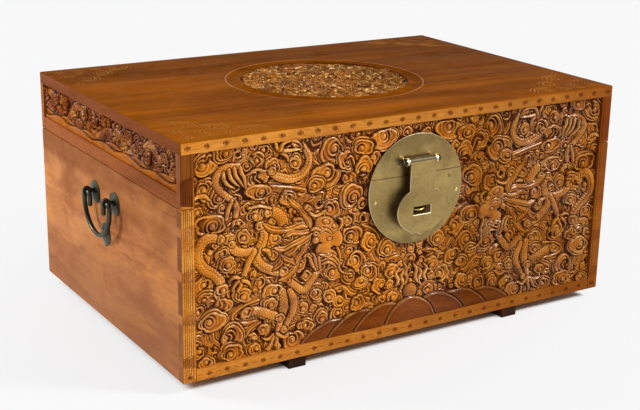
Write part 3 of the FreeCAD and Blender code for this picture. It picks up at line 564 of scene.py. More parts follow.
def trail(sheet, points, reach):
    """Distance across and along a smooth line, over the window that it needs."""
    line = spline(points)
    low, high = line.min(0) - reach, line.max(0) + reach
    area, px, pz = sheet.window(low[0], high[0], low[1], high[1])
    best = np.full(px.shape, FAR)
    along = np.zeros(px.shape)
    side = np.zeros(px.shape)
    passed = 0.0
    for start, stop in zip(line, line[1:]):
        run = stop - start
        length = math.hypot(*run)
        if length < TINY:
            continue
        near, far = np.minimum(start, stop) - reach, np.maximum(start, stop) + reach
        cols = (px[0] > near[0]) & (px[0] < far[0])
        rows = (pz[:, 0] > near[1]) & (pz[:, 0] < far[1])
        if cols.any() and rows.any():
            part = np.ix_(rows, cols)
            dx, dz = px[part] - start[0], pz[part] - start[1]
            share = np.clip((dx * run[0] + dz * run[1]) / length ** 2, 0.0, 1.0)
            away = np.hypot(dx - share * run[0], dz - share * run[1])
            nearer = away < best[part]
            best[part] = np.where(nearer, away, best[part])
            along[part] = np.where(nearer, passed + share * length, along[part])
            left = np.sign(run[0] * dz - run[1] * dx)
            side[part] = np.where(nearer, left, side[part])
        passed += length
    return area, best, along, side, passed


def half_width(along, total, widths):
    """The half width along a form, through evenly spaced values."""
    places = np.linspace(0.0, total, len(widths))
    return np.interp(along, places, widths)


def tube(sheet, points, widths, level=-1.0, crown=0.8, moat=MOAT_WIDTH):
    """A smooth rounded strand, limb or horn."""
    area, best, along, _, total = trail(sheet, points, max(widths) + MOAT_WIDTH + 1)
    width = half_width(along, total, widths)
    share = np.clip(best / width, 0.0, 1.0)
    form = level - np.maximum(crown * width, 1.2) * rounded(share, 0.96)
    sheet.lay(area, best - width, np.maximum(form, LOWEST), moat)


def ribbon(sheet, points, width, ridges=3, level=-2.6, drop=1.2):
    """A cloud wisp: a band with parallel rounded ridges, tapered at both ends."""
    area, best, along, side, total = trail(sheet, points, width + MOAT_WIDTH + 1)
    taper = smooth(np.minimum(along, total - along) / (1.6 * width))
    own = width * (0.35 + 0.65 * taper)
    across = np.clip(side * best / own, -1.0, 1.0)
    trough = np.sqrt(np.sin(0.5 * math.pi * ridges * (across + 1.0) + 0.5) ** 2 + 0.01)
    form = level - drop * across ** 2 - 2.4 * trough - 0.7 * (across + 1.0)
    sheet.lay(area, best - own, np.maximum(form, LOWEST))


def scales(along, across, pitch):
    """Rows of overlapping round scales."""
    best = np.full(along.shape, -1.0)
    for shift in (0.0, 0.5):
        row = along / pitch + shift
        column = across / (1.05 * pitch) + shift
        a = (row - np.floor(row) - 0.5) * 1.5
        b = (column - np.floor(column) - 0.5) * 1.5
        best = np.maximum(best, 1.0 - (a * a + b * b) * 1.7)
    return np.clip(best, -0.4, 1.0)


def body(sheet, points, widths, level=-0.8, belly=0, fin=0, pitch=5.8):
    """A scaled length of the dragon, with belly plates or a toothed fin on one side (1 is to the left)."""
    fin_reach = 4.5 if fin else 0.0
    area, best, along, side, total = trail(sheet, points, max(widths) + fin_reach + MOAT_WIDTH + 1)
    width = half_width(along, total, widths)
    if fin:
        tooth = np.abs((along / 6.5) % 1.0 - 0.5) * 2.0
        fin_width = np.where(side == fin, width + 1.5 + fin_reach * tooth ** 1.3 * 0.7, -FAR)
        ribs = 0.5 * np.abs(np.sin(math.pi * along / 3.2))
        sheet.lay(area, best - fin_width, level - 3.2 + ribs - 0.2 * (best - width))
    share = np.clip(best / width, 0.0, 1.0)
    form = level - 0.62 * width * rounded(share, 0.94)
    bumps = 1.9 * scales(along, side * best, pitch) - 1.6
    if belly:
        over = side * belly * best / width - 0.3
        under = smooth(over / 0.08)
        plates = 1.6 * np.abs(np.sin(math.pi * along / 5.6)) - 1.7
        groove = 1.4 * np.exp(-(over / 0.09) ** 2)
        bumps = bumps * (1.0 - under) + plates * under - groove
    form = form + bumps * smooth((1.0 - share) / 0.15) - 0.4
    sheet.lay(area, best - width, np.maximum(form, LOWEST), 2.2, 2.6)


def boss(sheet, x, z, width, height, tilt=0.0, level=-0.4, rise=4.0):
    """An oval swelling, such as a brow, a cheek or an eye."""
    area, px, pz = sheet.around(x, z, max(width, height) + MOAT_WIDTH + 1)
    share = oval(px, pz, x, z, width, height, tilt)
    form = level - rise * rounded(share)
    sheet.lay(area, (share - 1.0) * min(width, height), np.maximum(form, LOWEST), 1.4, 2.6)


def mass(sheet, places, blur=1.3):
    """One swelling grown together from several rounded ones."""
    reach = np.array([max(row[2:4]) + 4 for row in places])[:, None]
    middles = np.array([row[:2] for row in places])
    low, high = (middles - reach).min(0), (middles + reach).max(0)
    area, px, pz = sheet.window(low[0], high[0], low[1], high[1])
    total, gap = np.zeros(px.shape), np.full(px.shape, FAR)
    for x, z, width, height, tilt, level, rise in places:
        share = oval(px, pz, x, z, width, height, tilt)
        form = level - rise * rounded(np.minimum(share, 1.0), 0.97) - 24.0 * np.maximum(share - 1.0, 0.0)
        total += np.exp(form / blur)
        gap = np.minimum(gap, (share - 1.0) * min(width, height))
    sheet.lay(area, gap, np.clip(blur * np.log(total + 1e-12), LOWEST, FACE_LIMIT))


def pit(sheet, x, z, width, height):
    """A dark hollow cut down into the panel."""
    area, px, pz = sheet.around(x, z, 1.3 * max(width, height) + 1)
    cut = 1.0 - smooth((oval(px, pz, x, z, width, height) - 0.75) / 0.4)
    here = sheet.height[area]
    sheet.height[area] = here + (np.minimum(PIT_FLOOR, here) - here) * cut


def fan(sheet, x, z, start, stop, count, length, width, level=-1.5, bend=0.0):
    """Strands or claws that spread from one place."""
    for number in range(count):
        angle = start + (stop - start) * number / max(1, count - 1)
        points = [polar(x, z, length * share, angle + bend * share) for share in (0.0, 0.35, 0.7, 1.0)]
        tube(sheet, points, [width, width, 0.75 * width, 0.3 * width], level)


def petal(sheet, outline, foot, level):
    """A smooth petal between an outline and the foot of the panel, with a raised rim and a dished face."""
    edge = spline(outline, 12)
    area, best, *_ = trail(sheet, outline, 34.0)
    px, pz = sheet.places(area)
    ring = np.vstack([edge, [[edge[-1][0], foot - 30.0], [edge[0][0], foot - 30.0]]])
    inside = np.zeros(px.shape, bool)
    for start, stop in zip(ring, np.roll(ring, -1, axis=0)):
        crosses = (start[1] > pz) != (stop[1] > pz)
        rise = stop[1] - start[1] if stop[1] != start[1] else 1e-9
        inside ^= crosses & (px < start[0] + (pz - start[1]) * (stop[0] - start[0]) / rise)
    gap = np.where(inside, -best, best)
    deep = np.clip(-gap, 0.0, 40.0)
    rim = 2.2 * (1.0 - smooth(deep / 1.8)) + 1.1 * smooth((deep - 2.4) / 3.0)
    veins = 0.12 * np.cos(2 * math.pi * deep / 5.4) * smooth((deep - 4.0) / 3.0)
    form = level - rim + 0.9 * smooth((deep - 6.0) / 16.0) + veins
    sheet.lay(area, gap, form)
    sheet.plain[area] = np.where(gap < 0, 1.0, sheet.plain[area])


def away_from(solid, farthest):
    """Distance in samples from the nearest marked place, up to a limit."""
    far = np.where(solid, 0.0, farthest)
    for _ in range(int(farthest)):
        padded = np.pad(far, 1, constant_values=farthest)
        rows, columns = far.shape
        for down in (0, 1, 2):
            for over in (0, 1, 2):
                step = math.hypot(down - 1, over - 1)
                far = np.minimum(far, padded[down:down + rows, over:over + columns] + step)
    return far


def finish_ground(sheet, phase=0.0):
    """Lines in the ground that follow the forms round them, and low places without lines."""
    bare = sheet.height <= GROUND + TINY
    clear = SAMPLE * away_from(~bare, 24.0)
    waves = np.cos(2 * math.pi * (clear - 3.4) / 9.0)
    lined = -6.2 - 3.0 * smooth(clear / 9.0) + 1.0 * waves
    columns = np.arange(sheet.columns)[None, :] * SAMPLE
    rows = np.arange(sheet.rows)[:, None] * SAMPLE
    drift = np.sin(columns / 23.0 + phase) * np.sin(rows / 19.0 + 1.3)
    drift = drift + 0.7 * np.sin((columns + rows) / 31.0 + 2.1)
    deep = smooth((drift - 0.5) / 0.5)
    ground = lined * (1.0 - deep) + (GROUND + 0.5) * deep
    sheet.height = np.clip(np.where(bare, ground, sheet.height), LOWEST, FACE_LIMIT)


# The front's design, read off the photograph for the left half, in millimetres.
# x is from the left end of the trunk and z from the foot of the base boards.
MIDDLE_OF_DESIGN = 458.0

# Cloud scrolls: x, z, radius, and for some also stretch and tilt in degrees
LOW_CLOUDS = (
    (72, 368, 11, 1.3, 60), (120, 383, 9), (265, 385, 9), (250, 372, 9, 1.4, 80), (357, 374, 10, 1.3, 80),
    (412, 382, 10, 1.3), (432, 384, 9), (458, 380, 11), (35, 312, 11, 1.5, 10), (185, 345, 9),
    (262, 338, 9, 1.3, 60), (300, 384, 9), (334, 303, 12, 1.6), (315, 308, 11), (258, 290, 11, 1.6, -10),
    (228, 300, 9, 1.5, -15), (210, 300, 9), (60, 285, 11, 1.5), (28, 268, 8), (95, 250, 10, 1.5, 10),
    (125, 285, 10, 1.6, 10), (300, 285, 12, 1.5, 10), (350, 290, 11, 1.4), (262, 272, 9, 1.3, 40),
    (300, 246, 10, 1.3, 30), (335, 250, 9, 1.4), (366, 260, 8), (54, 222, 8), (30, 230, 7), (95, 222, 8),
    (120, 218, 9), (175, 212, 9), (110, 187, 8), (96, 178, 8, 1.4), (60, 200, 8), (28, 190, 8),
    (190, 165, 9, 1.4), (150, 172, 9), (128, 178, 8), (100, 150, 9, 1.4), (218, 118, 9, 1.3, -40),
    (232, 108, 8), (26, 150, 8), (62, 152, 8), (97, 132, 8), (55, 128, 8), (140, 138, 8), (197, 140, 8),
    (310, 110, 10), (345, 107, 9), (375, 112, 9), (330, 92, 9), (365, 92, 10), (362, 70, 9), (382, 80, 9),
    (385, 170, 9), (365, 160, 9), (372, 148, 9), (395, 148, 9), (420, 160, 8), (412, 142, 8), (440, 148, 8),
    (340, 178, 9, 1.5), (322, 175, 8), (310, 160, 9), (280, 118, 9), (268, 78, 9), (290, 80, 9),
    (118, 82, 10, 1.4), (60, 72, 10, 1.4, 90), (30, 78, 8), (110, 58, 9), (66, 50, 9), (118, 35, 9),
    (65, 32, 8, 1.4, 90), (165, 76, 9), (204, 62, 9, 1.5), (220, 45, 9), (255, 74, 9, 1.4),
    (250, 45, 8), (400, 76, 9), (440, 84, 8), (448, 112, 8), (404, 128, 9), (30, 33, 8), (184, 28, 8),
    (345, 218, 9, 1.6), (302, 222, 9), (398, 186, 8), (384, 204, 8), (160, 322, 8), (197, 312, 8),
    (290, 315, 8), (305, 350, 9), (335, 365, 9), (240, 330, 8), (110, 372, 9, 1.4), (188, 362, 8),
)
MAIN_CLOUDS = (
    (42, 366, 19, 1.05), (86, 380, 16), (153, 377, 15, 1.1), (141, 361, 14), (175, 347, 15, 1.1, -30),
    (44, 326, 17, 1.15, 20), (72, 307, 17), (34, 290, 13), (137, 332, 16, 1.5), (150, 306, 15, 1.6, -5),
    (196, 292, 12, 1.2), (213, 346, 12), (291, 362, 23, 1.12, 10), (318, 382, 12), (338, 381, 14),
    (389, 373, 19, 1.45, 5), (345, 356, 15, 1.45, -8), (319, 338, 17, 1.1, -30), (371, 338, 13), (351, 318, 19),
    (275, 322, 22, 1.35, -12), (250, 304, 14, 1.1), (62, 262, 19, 1.5, -4), (106, 261, 12), (137, 267, 14, 1.25, 20),
    (241, 264, 10), (282, 257, 17, 1.15), (331, 271, 20, 1.2, 10), (317, 232, 15), (352, 231, 11),
    (94, 235, 12), (76, 212, 13, 1.2, 30), (118, 232, 13), (177, 223, 14, 1.1), (171, 194, 13),
    (89, 192, 13, 1.2), (200, 180, 9), (328, 200, 18, 1.25, -8), (369, 187, 18), (336, 156, 20, 1.2),
    (404, 165, 15, 1.15), (43, 166, 17, 1.12), (44, 138, 14, 1.15), (81, 141, 15), (147, 150, 16, 1.2),
    (115, 131, 13, 1.3), (176, 131, 14, 1.6, 6), (32, 118, 12), (81, 119, 14, 1.3), (236, 147, 12),
    (290, 142, 19, 1.15), (329, 130, 13), (364, 131, 17, 1.2), (415, 119, 14, 1.2, 20), (437, 130, 11),
    (52, 98, 18, 1.4), (170, 106, 12, 1.2), (258, 111, 12), (284, 97, 14), (394, 100, 15, 1.2),
    (90, 68, 19, 1.2), (233, 86, 11), (35, 50, 12), (152, 64, 11), (137, 54, 9), (235, 56, 14, 1.25),
    (270, 59, 13), (304, 65, 13, 1.1), (340, 76, 16), (420, 70, 12), (45, 30, 13), (92, 32, 17, 1.3),
    (143, 31, 13), (211, 34, 20, 1.25), (412, 96, 9), (350, 117, 10, 1.4, -10),
)
# Small clouds laid over the dragons
COVER_CLOUDS = (
    (190, 163, 9), (79, 150, 10, 1.2), (121, 104, 9, 1.3, 30), (199, 146, 8), (150, 251, 8, 1.2, 40),
    (160, 272, 8), (76, 236, 8), (220, 386, 10, 1.3, 20), (167, 340, 8), (97, 226, 7), (113, 163, 7),
    (186, 78, 8, 1.3), (196, 58, 7), (192, 238, 7),
)

# Hollows: x, z, half width, half height
DARK_HOLLOWS = (
    (30, 181, 6, 7), (203, 371, 6, 4), (232, 286, 7, 5), (54, 219, 5, 7), (167, 252, 15, 11), (214, 249, 13, 10),
    (255, 194, 6, 7), (300, 230, 4, 6), (322, 222, 10, 5), (236, 150, 19, 16), (172, 188, 15, 12), (214, 188, 5, 9),
    (30, 60, 5, 7), (133, 131, 5, 6), (27, 348, 4, 4), (128, 372, 6, 5), (370, 384, 7, 5), (398, 88, 9, 4),
    (262, 270, 4, 5), (296, 330, 5, 5), (457, 98, 12, 9), (352, 230, 5, 6), (345, 303, 6, 4), (185, 178, 5, 5),
    (108, 375, 5, 4), (160, 45, 6, 4), (300, 300, 6, 3), (238, 374, 3, 6), (430, 90, 8, 3), (262, 84, 4, 4),
)

# Wisps between the clouds: width, points
WISPS = (
    (6.0, (236, 390), (246, 374), (248, 354), (260, 341), (285, 336), (302, 330)),
    (6.0, (120, 319), (150, 318), (182, 313), (215, 306), (243, 297), (264, 288)),
    (6.0, (58, 390), (64, 378), (76, 368), (92, 362)),
    (5.0, (283, 299), (295, 286), (310, 283), (322, 293), (335, 285), (352, 284)),
    (6.0, (245, 294), (262, 287), (285, 277), (304, 268)),
    (6.5, (200, 121), (172, 119), (142, 118), (118, 113), (99, 102), (101, 90), (122, 84), (142, 83), (152, 74)),
    (6.0, (150, 78), (131, 69), (123, 58), (109, 50), (112, 38), (122, 27)),
    (6.0, (280, 123), (295, 112), (311, 114), (322, 107), (333, 96), (350, 92), (366, 81), (382, 77)),
    (5.0, (345, 103), (362, 93), (378, 86), (398, 87), (420, 93), (442, 84)),
    (4.6, (299, 204), (308, 216), (325, 221), (350, 219), (373, 209), (386, 194), (392, 179), (404, 172)),
    (6.0, (357, 171), (372, 161), (381, 146), (396, 139), (413, 148), (432, 150)),
    (4.5, (408, 141), (425, 131), (433, 118), (428, 105)),
    (6.0, (28, 84), (45, 87), (60, 80), (63, 66), (75, 56), (92, 50)),
    (5.0, (25, 73), (38, 66), (42, 54), (56, 47)),
    (6.0, (203, 74), (226, 77), (250, 69), (263, 76), (288, 75)),
    (5.0, (60, 152), (82, 157), (104, 153), (120, 142)),
    (5.0, (300, 317), (312, 322), (330, 316), (340, 302)),
    (5.0, (23, 252), (40, 248), (62, 243), (88, 250), (110, 246)),
    (5.0, (228, 130), (244, 128), (262, 128), (284, 121)),
    (4.5, (360, 302), (366, 290), (358, 276), (362, 262)),
    (5.0, (186, 290), (214, 285), (228, 275), (238, 277), (254, 282)),
    (4.5, (130, 42), (150, 46), (163, 58), (168, 74)),
    (4.5, (66, 128), (62, 112), (75, 104), (92, 108)),
    (4.5, (196, 48), (206, 58), (222, 62), (240, 68)),
)

# Scaled lengths of the dragon: half widths, belly side, fin side, points
BODIES = (
    ((5, 7.5, 7.5, 7, 6.5, 5, 3.5), 1, 0,
     (166, 339), (184, 328), (205, 322), (225, 326), (238, 340), (240, 356), (232, 371), (220, 388)),
    ((6.5, 8.5, 9, 9.5, 9.5, 9, 7.5), 1, 0,
     (74, 236), (62, 242), (47, 241), (36, 227), (36, 207), (47, 191), (62, 180), (74, 166), (79, 148)),
    ((5, 7, 8, 8, 8), 0, -1, (118, 104), (132, 103), (151, 98), (168, 89), (186, 80)),
    ((6, 7.5, 7.5, 6.5, 5, 3.5), 0, 1, (206, 124), (214, 106), (213, 89), (204, 73), (196, 60)),
    ((7, 8.5, 8.5, 7, 5, 3), 0, 0, (191, 126), (195, 106), (192, 86), (186, 67), (180, 53)),
    ((6, 8, 9, 9, 8.5, 8, 6), -1, 0,
     (152, 250), (156, 232), (150, 214), (141, 203), (143, 190), (155, 177), (172, 167), (190, 159)),
    ((7, 9.5, 10.5, 10.5, 9), 0, 1, (158, 270), (172, 270), (185, 262), (192, 250), (192, 236)),
)
# Legs: half widths, points
LIMBS = (
    ((7.5, 8, 7, 6), (93, 224), (104, 213), (120, 208), (138, 208)),
    ((5.5, 5.5, 5, 4.5), (137, 207), (127, 191), (120, 174), (113, 160)),
    ((6, 6.5, 6.5, 6, 5.5, 5, 4.5),
     (108, 356), (88, 357), (73, 350), (66, 338), (71, 323), (84, 311), (97, 301), (105, 289), (103, 274)),
    ((6, 6.5, 7, 6.5, 6), (200, 147), (214, 134), (233, 121), (248, 135), (263, 154)),
)
# Smooth strands among them: level, half widths, points
STRANDS = (
    (-2.6, (4, 4, 3.5), (96, 300), (90, 287), (86, 271)),
    (-1.0, (2.6, 2.8, 2), (243, 258), (252, 251), (263, 252), (274, 258)),
    (-0.8, (2, 2.5, 2.2, 1.8, 1.2), (233, 181), (241, 184), (249, 179)),
    (-0.9, (2.6, 2.4, 2.2, 2, 1.8, 1.4), (296, 203), (300, 186), (305, 168), (303, 150), (313, 138), (329, 134)),
    (-1.2, (2, 2.6, 2), (125, 283), (146, 284), (168, 277)),
    (-1.6, (3, 2.6, 1.6), (213, 250), (219, 251), (227, 250)),
    (-1.0, (2, 3.2, 4.6, 3), (152, 208), (158, 206), (163, 203), (166, 196)),
    (-1.5, (1.5, 3.5, 4.5, 2), (24, 310), (34, 316), (47, 315), (55, 308)),
)

# Locks of the mane and the beard: half width, level, points
LOCKS = (
    (6.0, -1.6, (154, 252), (168, 241), (186, 236), (206, 234), (226, 238), (250, 232)),
    (5.5, -1.2, (200, 291), (211, 279), (222, 270), (230, 258), (241, 246), (246, 230)),
    (5.5, -1.8, (246, 214), (236, 199), (232, 188), (221, 178), (216, 164), (200, 150), (186, 147)),
    (5.0, -1.6, (172, 168), (186, 175), (196, 188), (211, 194), (224, 205), (246, 212)),
    (5.0, -1.2, (176, 206), (192, 201), (208, 206), (226, 211), (250, 221)),
    (4.5, -2.0, (196, 222), (210, 227), (228, 224), (248, 225)),
    (4.5, -2.2, (190, 190), (200, 181), (210, 176), (216, 170)),
)
# Claws and toes
FINGERS = (
    ((80, 349), (82, 337), (90, 327), (101, 321)),
    ((90, 353), (93, 340), (101, 330), (110, 322)),
    ((100, 354), (103, 342), (109, 333), (117, 321)),
    ((111, 354), (113, 345), (118, 336), (121, 317)),
    ((258, 154), (249, 165), (245, 176), (238, 183)),
    ((261, 156), (256, 168), (253, 180), (247, 186)),
    ((264, 158), (263, 169), (261, 181), (257, 188)),
    ((113, 161), (104, 168), (96, 168), (88, 163)),
    ((112, 160), (103, 158), (97, 150), (96, 143)),
    ((113, 159), (111, 151), (106, 145), (108, 139)),
    ((115, 160), (123, 157), (128, 151), (131, 144)),
    ((178, 52), (169, 47), (160, 46), (152, 50)),
    ((178, 51), (171, 42), (166, 33), (158, 28)),
    ((180, 51), (181, 41), (178, 32), (180, 25)),
    ((181, 52), (190, 45), (197, 42), (203, 45)),
    ((184, 372), (178, 379), (176, 387), (170, 392)),
    ((184, 372), (192, 366), (198, 360), (200, 352)),
    ((184, 373), (200, 371), (214, 371), (227, 371)),
    ((185, 374), (190, 384), (205, 388), (219, 383), (226, 373)),
)

# Head: x, z, half width, half height, tilt, level, rise; first what has grown together, then what stands out
SKULL = (
    (273, 236, 19, 11, -12, -0.5, 4.0), (287, 219, 18, 15, -35, -1.0, 4.0), (268, 215, 17, 13, 0, -1.6, 3.6),
    (299, 203, 11, 15, 15, -0.9, 4.0), (272, 187, 15, 11, -25, -0.8, 4.0), (288, 175, 13, 9, -35, -1.2, 3.6),
    (282, 199, 15, 10, 0, -2.0, 3.0), (258, 229, 9, 6, 20, -1.4, 3.0),
)
FEATURES = (
    (274, 238, 8, 4.5, -18, -0.1, 2.6), (255, 207, 6.8, 6.0, 0, -0.2, 3.4), (255, 219, 4.6, 4.2, 0, -0.8, 2.0),
    (266, 226, 4.5, 3.0, 20, -0.2, 1.8), (291, 227, 5.5, 4.0, -30, -0.3, 2.0), (282, 206, 5.0, 3.6, 0, -0.9, 2.0),
)

# Pits of the face: x, z, half width, half height; and the scrolls in the largest hollows: x, z, radius
FACE_PITS = ((252, 193, 5.5, 6.5), (255.5, 219, 1.8, 1.8), (243, 190, 3.0, 4.0))
HOLLOW_SCROLLS = ((167, 252, 8), (317, 231, 9), (236, 146, 10), (171, 194, 9), (54, 219, 5))
# Fine strands of the beard and brow
HAIR = (
    ((265, 174), (278, 178), (292, 173), (303, 160)),
    ((266, 168), (279, 171), (291, 166), (300, 156)),
    ((267, 162), (279, 164), (290, 159), (297, 151)),
    ((245, 226), (252, 229), (259, 227), (266, 222)),
    ((264, 220), (272, 224), (280, 221), (286, 215)),
    ((300, 240), (307, 235), (306, 226), (300, 219)),
    ((262, 181), (271, 178), (279, 174), (288, 176)),
)
# Flames of the pearl
FLAMES = (
    ((434, 84), (441, 96), (436, 110), (446, 122), (440, 136)),
    ((444, 92), (449, 104), (446, 116), (455, 130)),
    ((425, 92), (430, 104), (424, 116), (432, 126)),
)


# Petals of the foot, outermost first, and the middle one
SIDE_PETALS = (
    ((226, 18), (232, 28), (245, 38), (262, 47), (284, 54), (306, 54), (330, 52), (345, 40), (352, 18)),
    ((280, 18), (286, 28), (301, 42), (319, 54), (337, 60), (356, 61), (374, 58), (392, 45), (400, 18)),
    ((334, 18), (339, 28), (352, 42), (369, 54), (388, 62), (408, 64), (426, 60), (440, 45), (446, 18)),
)
MIDDLE_PETAL = (
    (400, 18), (404, 28), (414, 45), (430, 58), (446, 65), (458, 67),
    (470, 65), (486, 58), (502, 45), (512, 28), (516, 18),
)


# The tail of a large cloud: how far out in radii, and its turn
CLOUD_TAIL = ((0.3, 0.5), (0.9, 0.35), (1.35, 0.0), (1.9, -0.15), (2.3, 0.1))


class Hand:
    """Carries a design given for the left half to either half of a panel."""

    def __init__(self, sheet, side, sway=0.0):
        self.sheet, self.side, self.sway = sheet, side, sway

    def place(self, point, number=0):
        drift = self.sway * math.sin(12.9 * number + point[1])
        return (self.side * (point[0] - MIDDLE_OF_DESIGN + drift), point[1] + 0.6 * drift)

    def line(self, points):
        return [self.place(point) for point in points]

    def clouds(self, rows, level, step, echoes, tails=False):
        for number, row in enumerate(rows):
            x, z, radius, stretch, tilt = tuple(row) + (1.0, 0.0)[len(row) - 3:]
            px, pz = self.place((x, z), number)
            radius = radius * (1.0 + 0.05 * self.sway * math.sin(7.7 * number))
            turn = 2.4 * number if self.side > 0 else math.pi - 2.4 * number
            spin = self.side * (1 if number % 3 else -1)
            own = level - step * (number * 7 % 5)
            if tails and radius > 12:
                heading = turn + 0.9 * spin
                tail = [polar(px, pz, radius * far, heading + bend * spin) for far, bend in CLOUD_TAIL]
                ribbon(self.sheet, tail, 0.34 * radius, 2, own - 1.6)
            cloud(self.sheet, px, pz, radius, stretch, self.side * math.radians(tilt), spin,
                  3 + number % 3, turn, own, echoes if number % 5 < 3 else 0, 0.03 + 0.02 * (number % 4))


PANEL_FOOT = RAIL_TOP - FOOT_OF_BOARDS
PEARL_Z = 77.0
PEARL_RADIUS = 16.5


def carve_front(sheet):
    """Clouds, two dragons that face each other, the pearl and the petals."""
    hands = [Hand(sheet, 1), Hand(sheet, -1, 1.0)]
    for hand in hands:
        hand.clouds(LOW_CLOUDS, -3.8, 0.6, 0)
    for hand in hands:
        for width, *points in WISPS:
            ribbon(sheet, hand.line(points), width, 2, -3.0)
    for hand in hands:
        hand.clouds(MAIN_CLOUDS, -0.7, 0.75, 1, True)
    for hand in hands:
        for x, z, width, height in DARK_HOLLOWS:
            pit(sheet, *hand.place((x, z)), width, height)
    fill_with_clouds(sheet, 6.8, 13.0, -2.8, 3.6, 5, 0, 0.94)
    for hand in hands:
        for x, z, radius in HOLLOW_SCROLLS:
            cloud(sheet, *hand.place((x, z)), radius, 1.0, 0.0, hand.side, 4, 0.0, -2.4, 0)
    for hand in hands:
        side = hand.side
        for widths, belly, fin, *points in BODIES:
            body(sheet, hand.line(points), widths, -0.7, side * belly, side * fin)
        for widths, *points in LIMBS:
            body(sheet, hand.line(points), widths, -0.9, 0, 0, 5.2)
        hand.clouds(COVER_CLOUDS, -0.8, 0.2, 0)
        for width, level, *points in LOCKS:
            ribbon(sheet, hand.line(points), width, 2, level, 1.6)
        for level, widths, *points in STRANDS:
            tube(sheet, hand.line(points), widths, level)
        for points in FINGERS:
            tube(sheet, hand.line(points), (3.2, 3.2, 2.6, 0.9), -0.8)
        rounded = [hand.place(row[:2]) + row[2:4] + (side * math.radians(row[4]),) + row[5:] for row in SKULL]
        mass(sheet, rounded)
        for x, z, width, height, tilt, level, rise in FEATURES:
            boss(sheet, *hand.place((x, z)), width, height, side * math.radians(tilt), level, rise)
        for x, z, width, height in FACE_PITS:
            pit(sheet, *hand.place((x, z)), width, height)
        for points in HAIR:
            tube(sheet, hand.line(points), (1.2, 2.8, 2.8, 1.2), -0.6, moat=1.6)
        for points in FLAMES:
            tube(sheet, hand.line(points), (1.4, 3.2, 3.4, 2.6, 1.0), -1.2)
    boss(sheet, 0.0, PEARL_Z, PEARL_RADIUS, PEARL_RADIUS, 0.0, -0.4, 9.0)
    area, px, pz = sheet.around(0.0, PEARL_Z, PEARL_RADIUS)
    sheet.plain[area] = np.where(np.hypot(px, pz - PEARL_Z) < PEARL_RADIUS - 1.0, 0.65, sheet.plain[area])
    for level, outline in zip((-3.4, -2.4, -1.5), SIDE_PETALS):
        for hand in hands:
            petal(sheet, hand.line(outline), PANEL_FOOT, level)
    petal(sheet, hands[0].line(MIDDLE_PETAL), PANEL_FOOT, -0.6)
    finish_ground(sheet)
    clear_plate(sheet)


PLATE_SEAT = -0.15


def clear_plate(sheet):
    """The flat round seat of the lock plate."""
    seat_z, seat_radius = PLATE_CENTRE_Z - FOOT_OF_BOARDS, PLATE_RADIUS - 2.5
    area, px, pz = sheet.around(0.0, seat_z, seat_radius)
    sheet.height[area] = np.where(np.hypot(px, pz - seat_z) < seat_radius, PLATE_SEAT, sheet.height[area])


def fill_with_clouds(sheet, smallest, largest, level, drop, seed, echoes=0, spacing=1.05):
    """Small cloud scrolls in the ground that is still bare, the widest gaps first."""
    coarse = 4
    bare = sheet.height[::coarse, ::coarse] <= GROUND + TINY
    room = coarse * SAMPLE * away_from(~bare, 14.0)
    z, x = np.meshgrid(sheet.low + SAMPLE * coarse * np.arange(bare.shape[0]),
                       sheet.left + SAMPLE * coarse * np.arange(bare.shape[1]), indexing="ij")
    chance = np.random.default_rng(seed)
    while True:
        row, column = np.unravel_index(np.argmax(room), room.shape)
        radius = min(room[row, column], largest) * chance.uniform(0.8, 1.0)
        if room[row, column] < smallest:
            return
        cx, cz = x[row, column], z[row, column]
        cloud(sheet, cx, cz, radius, chance.uniform(1.0, 1.3), chance.uniform(0.0, math.pi),
              1 if chance.random() < 0.5 else -1, int(chance.integers(3, 6)), chance.uniform(0.0, 2 * math.pi),
              level - drop * chance.random(), echoes)
        room = np.minimum(room, np.hypot(x - cx, z - cz) - spacing * radius)


# The carved strips of the lid's sides: a dragon's back that winds through clouds above a smooth bank
STRIP_LENGTH = 585.0
STRIP_HEIGHT = 66.0
STRIP_COIL = 17.0


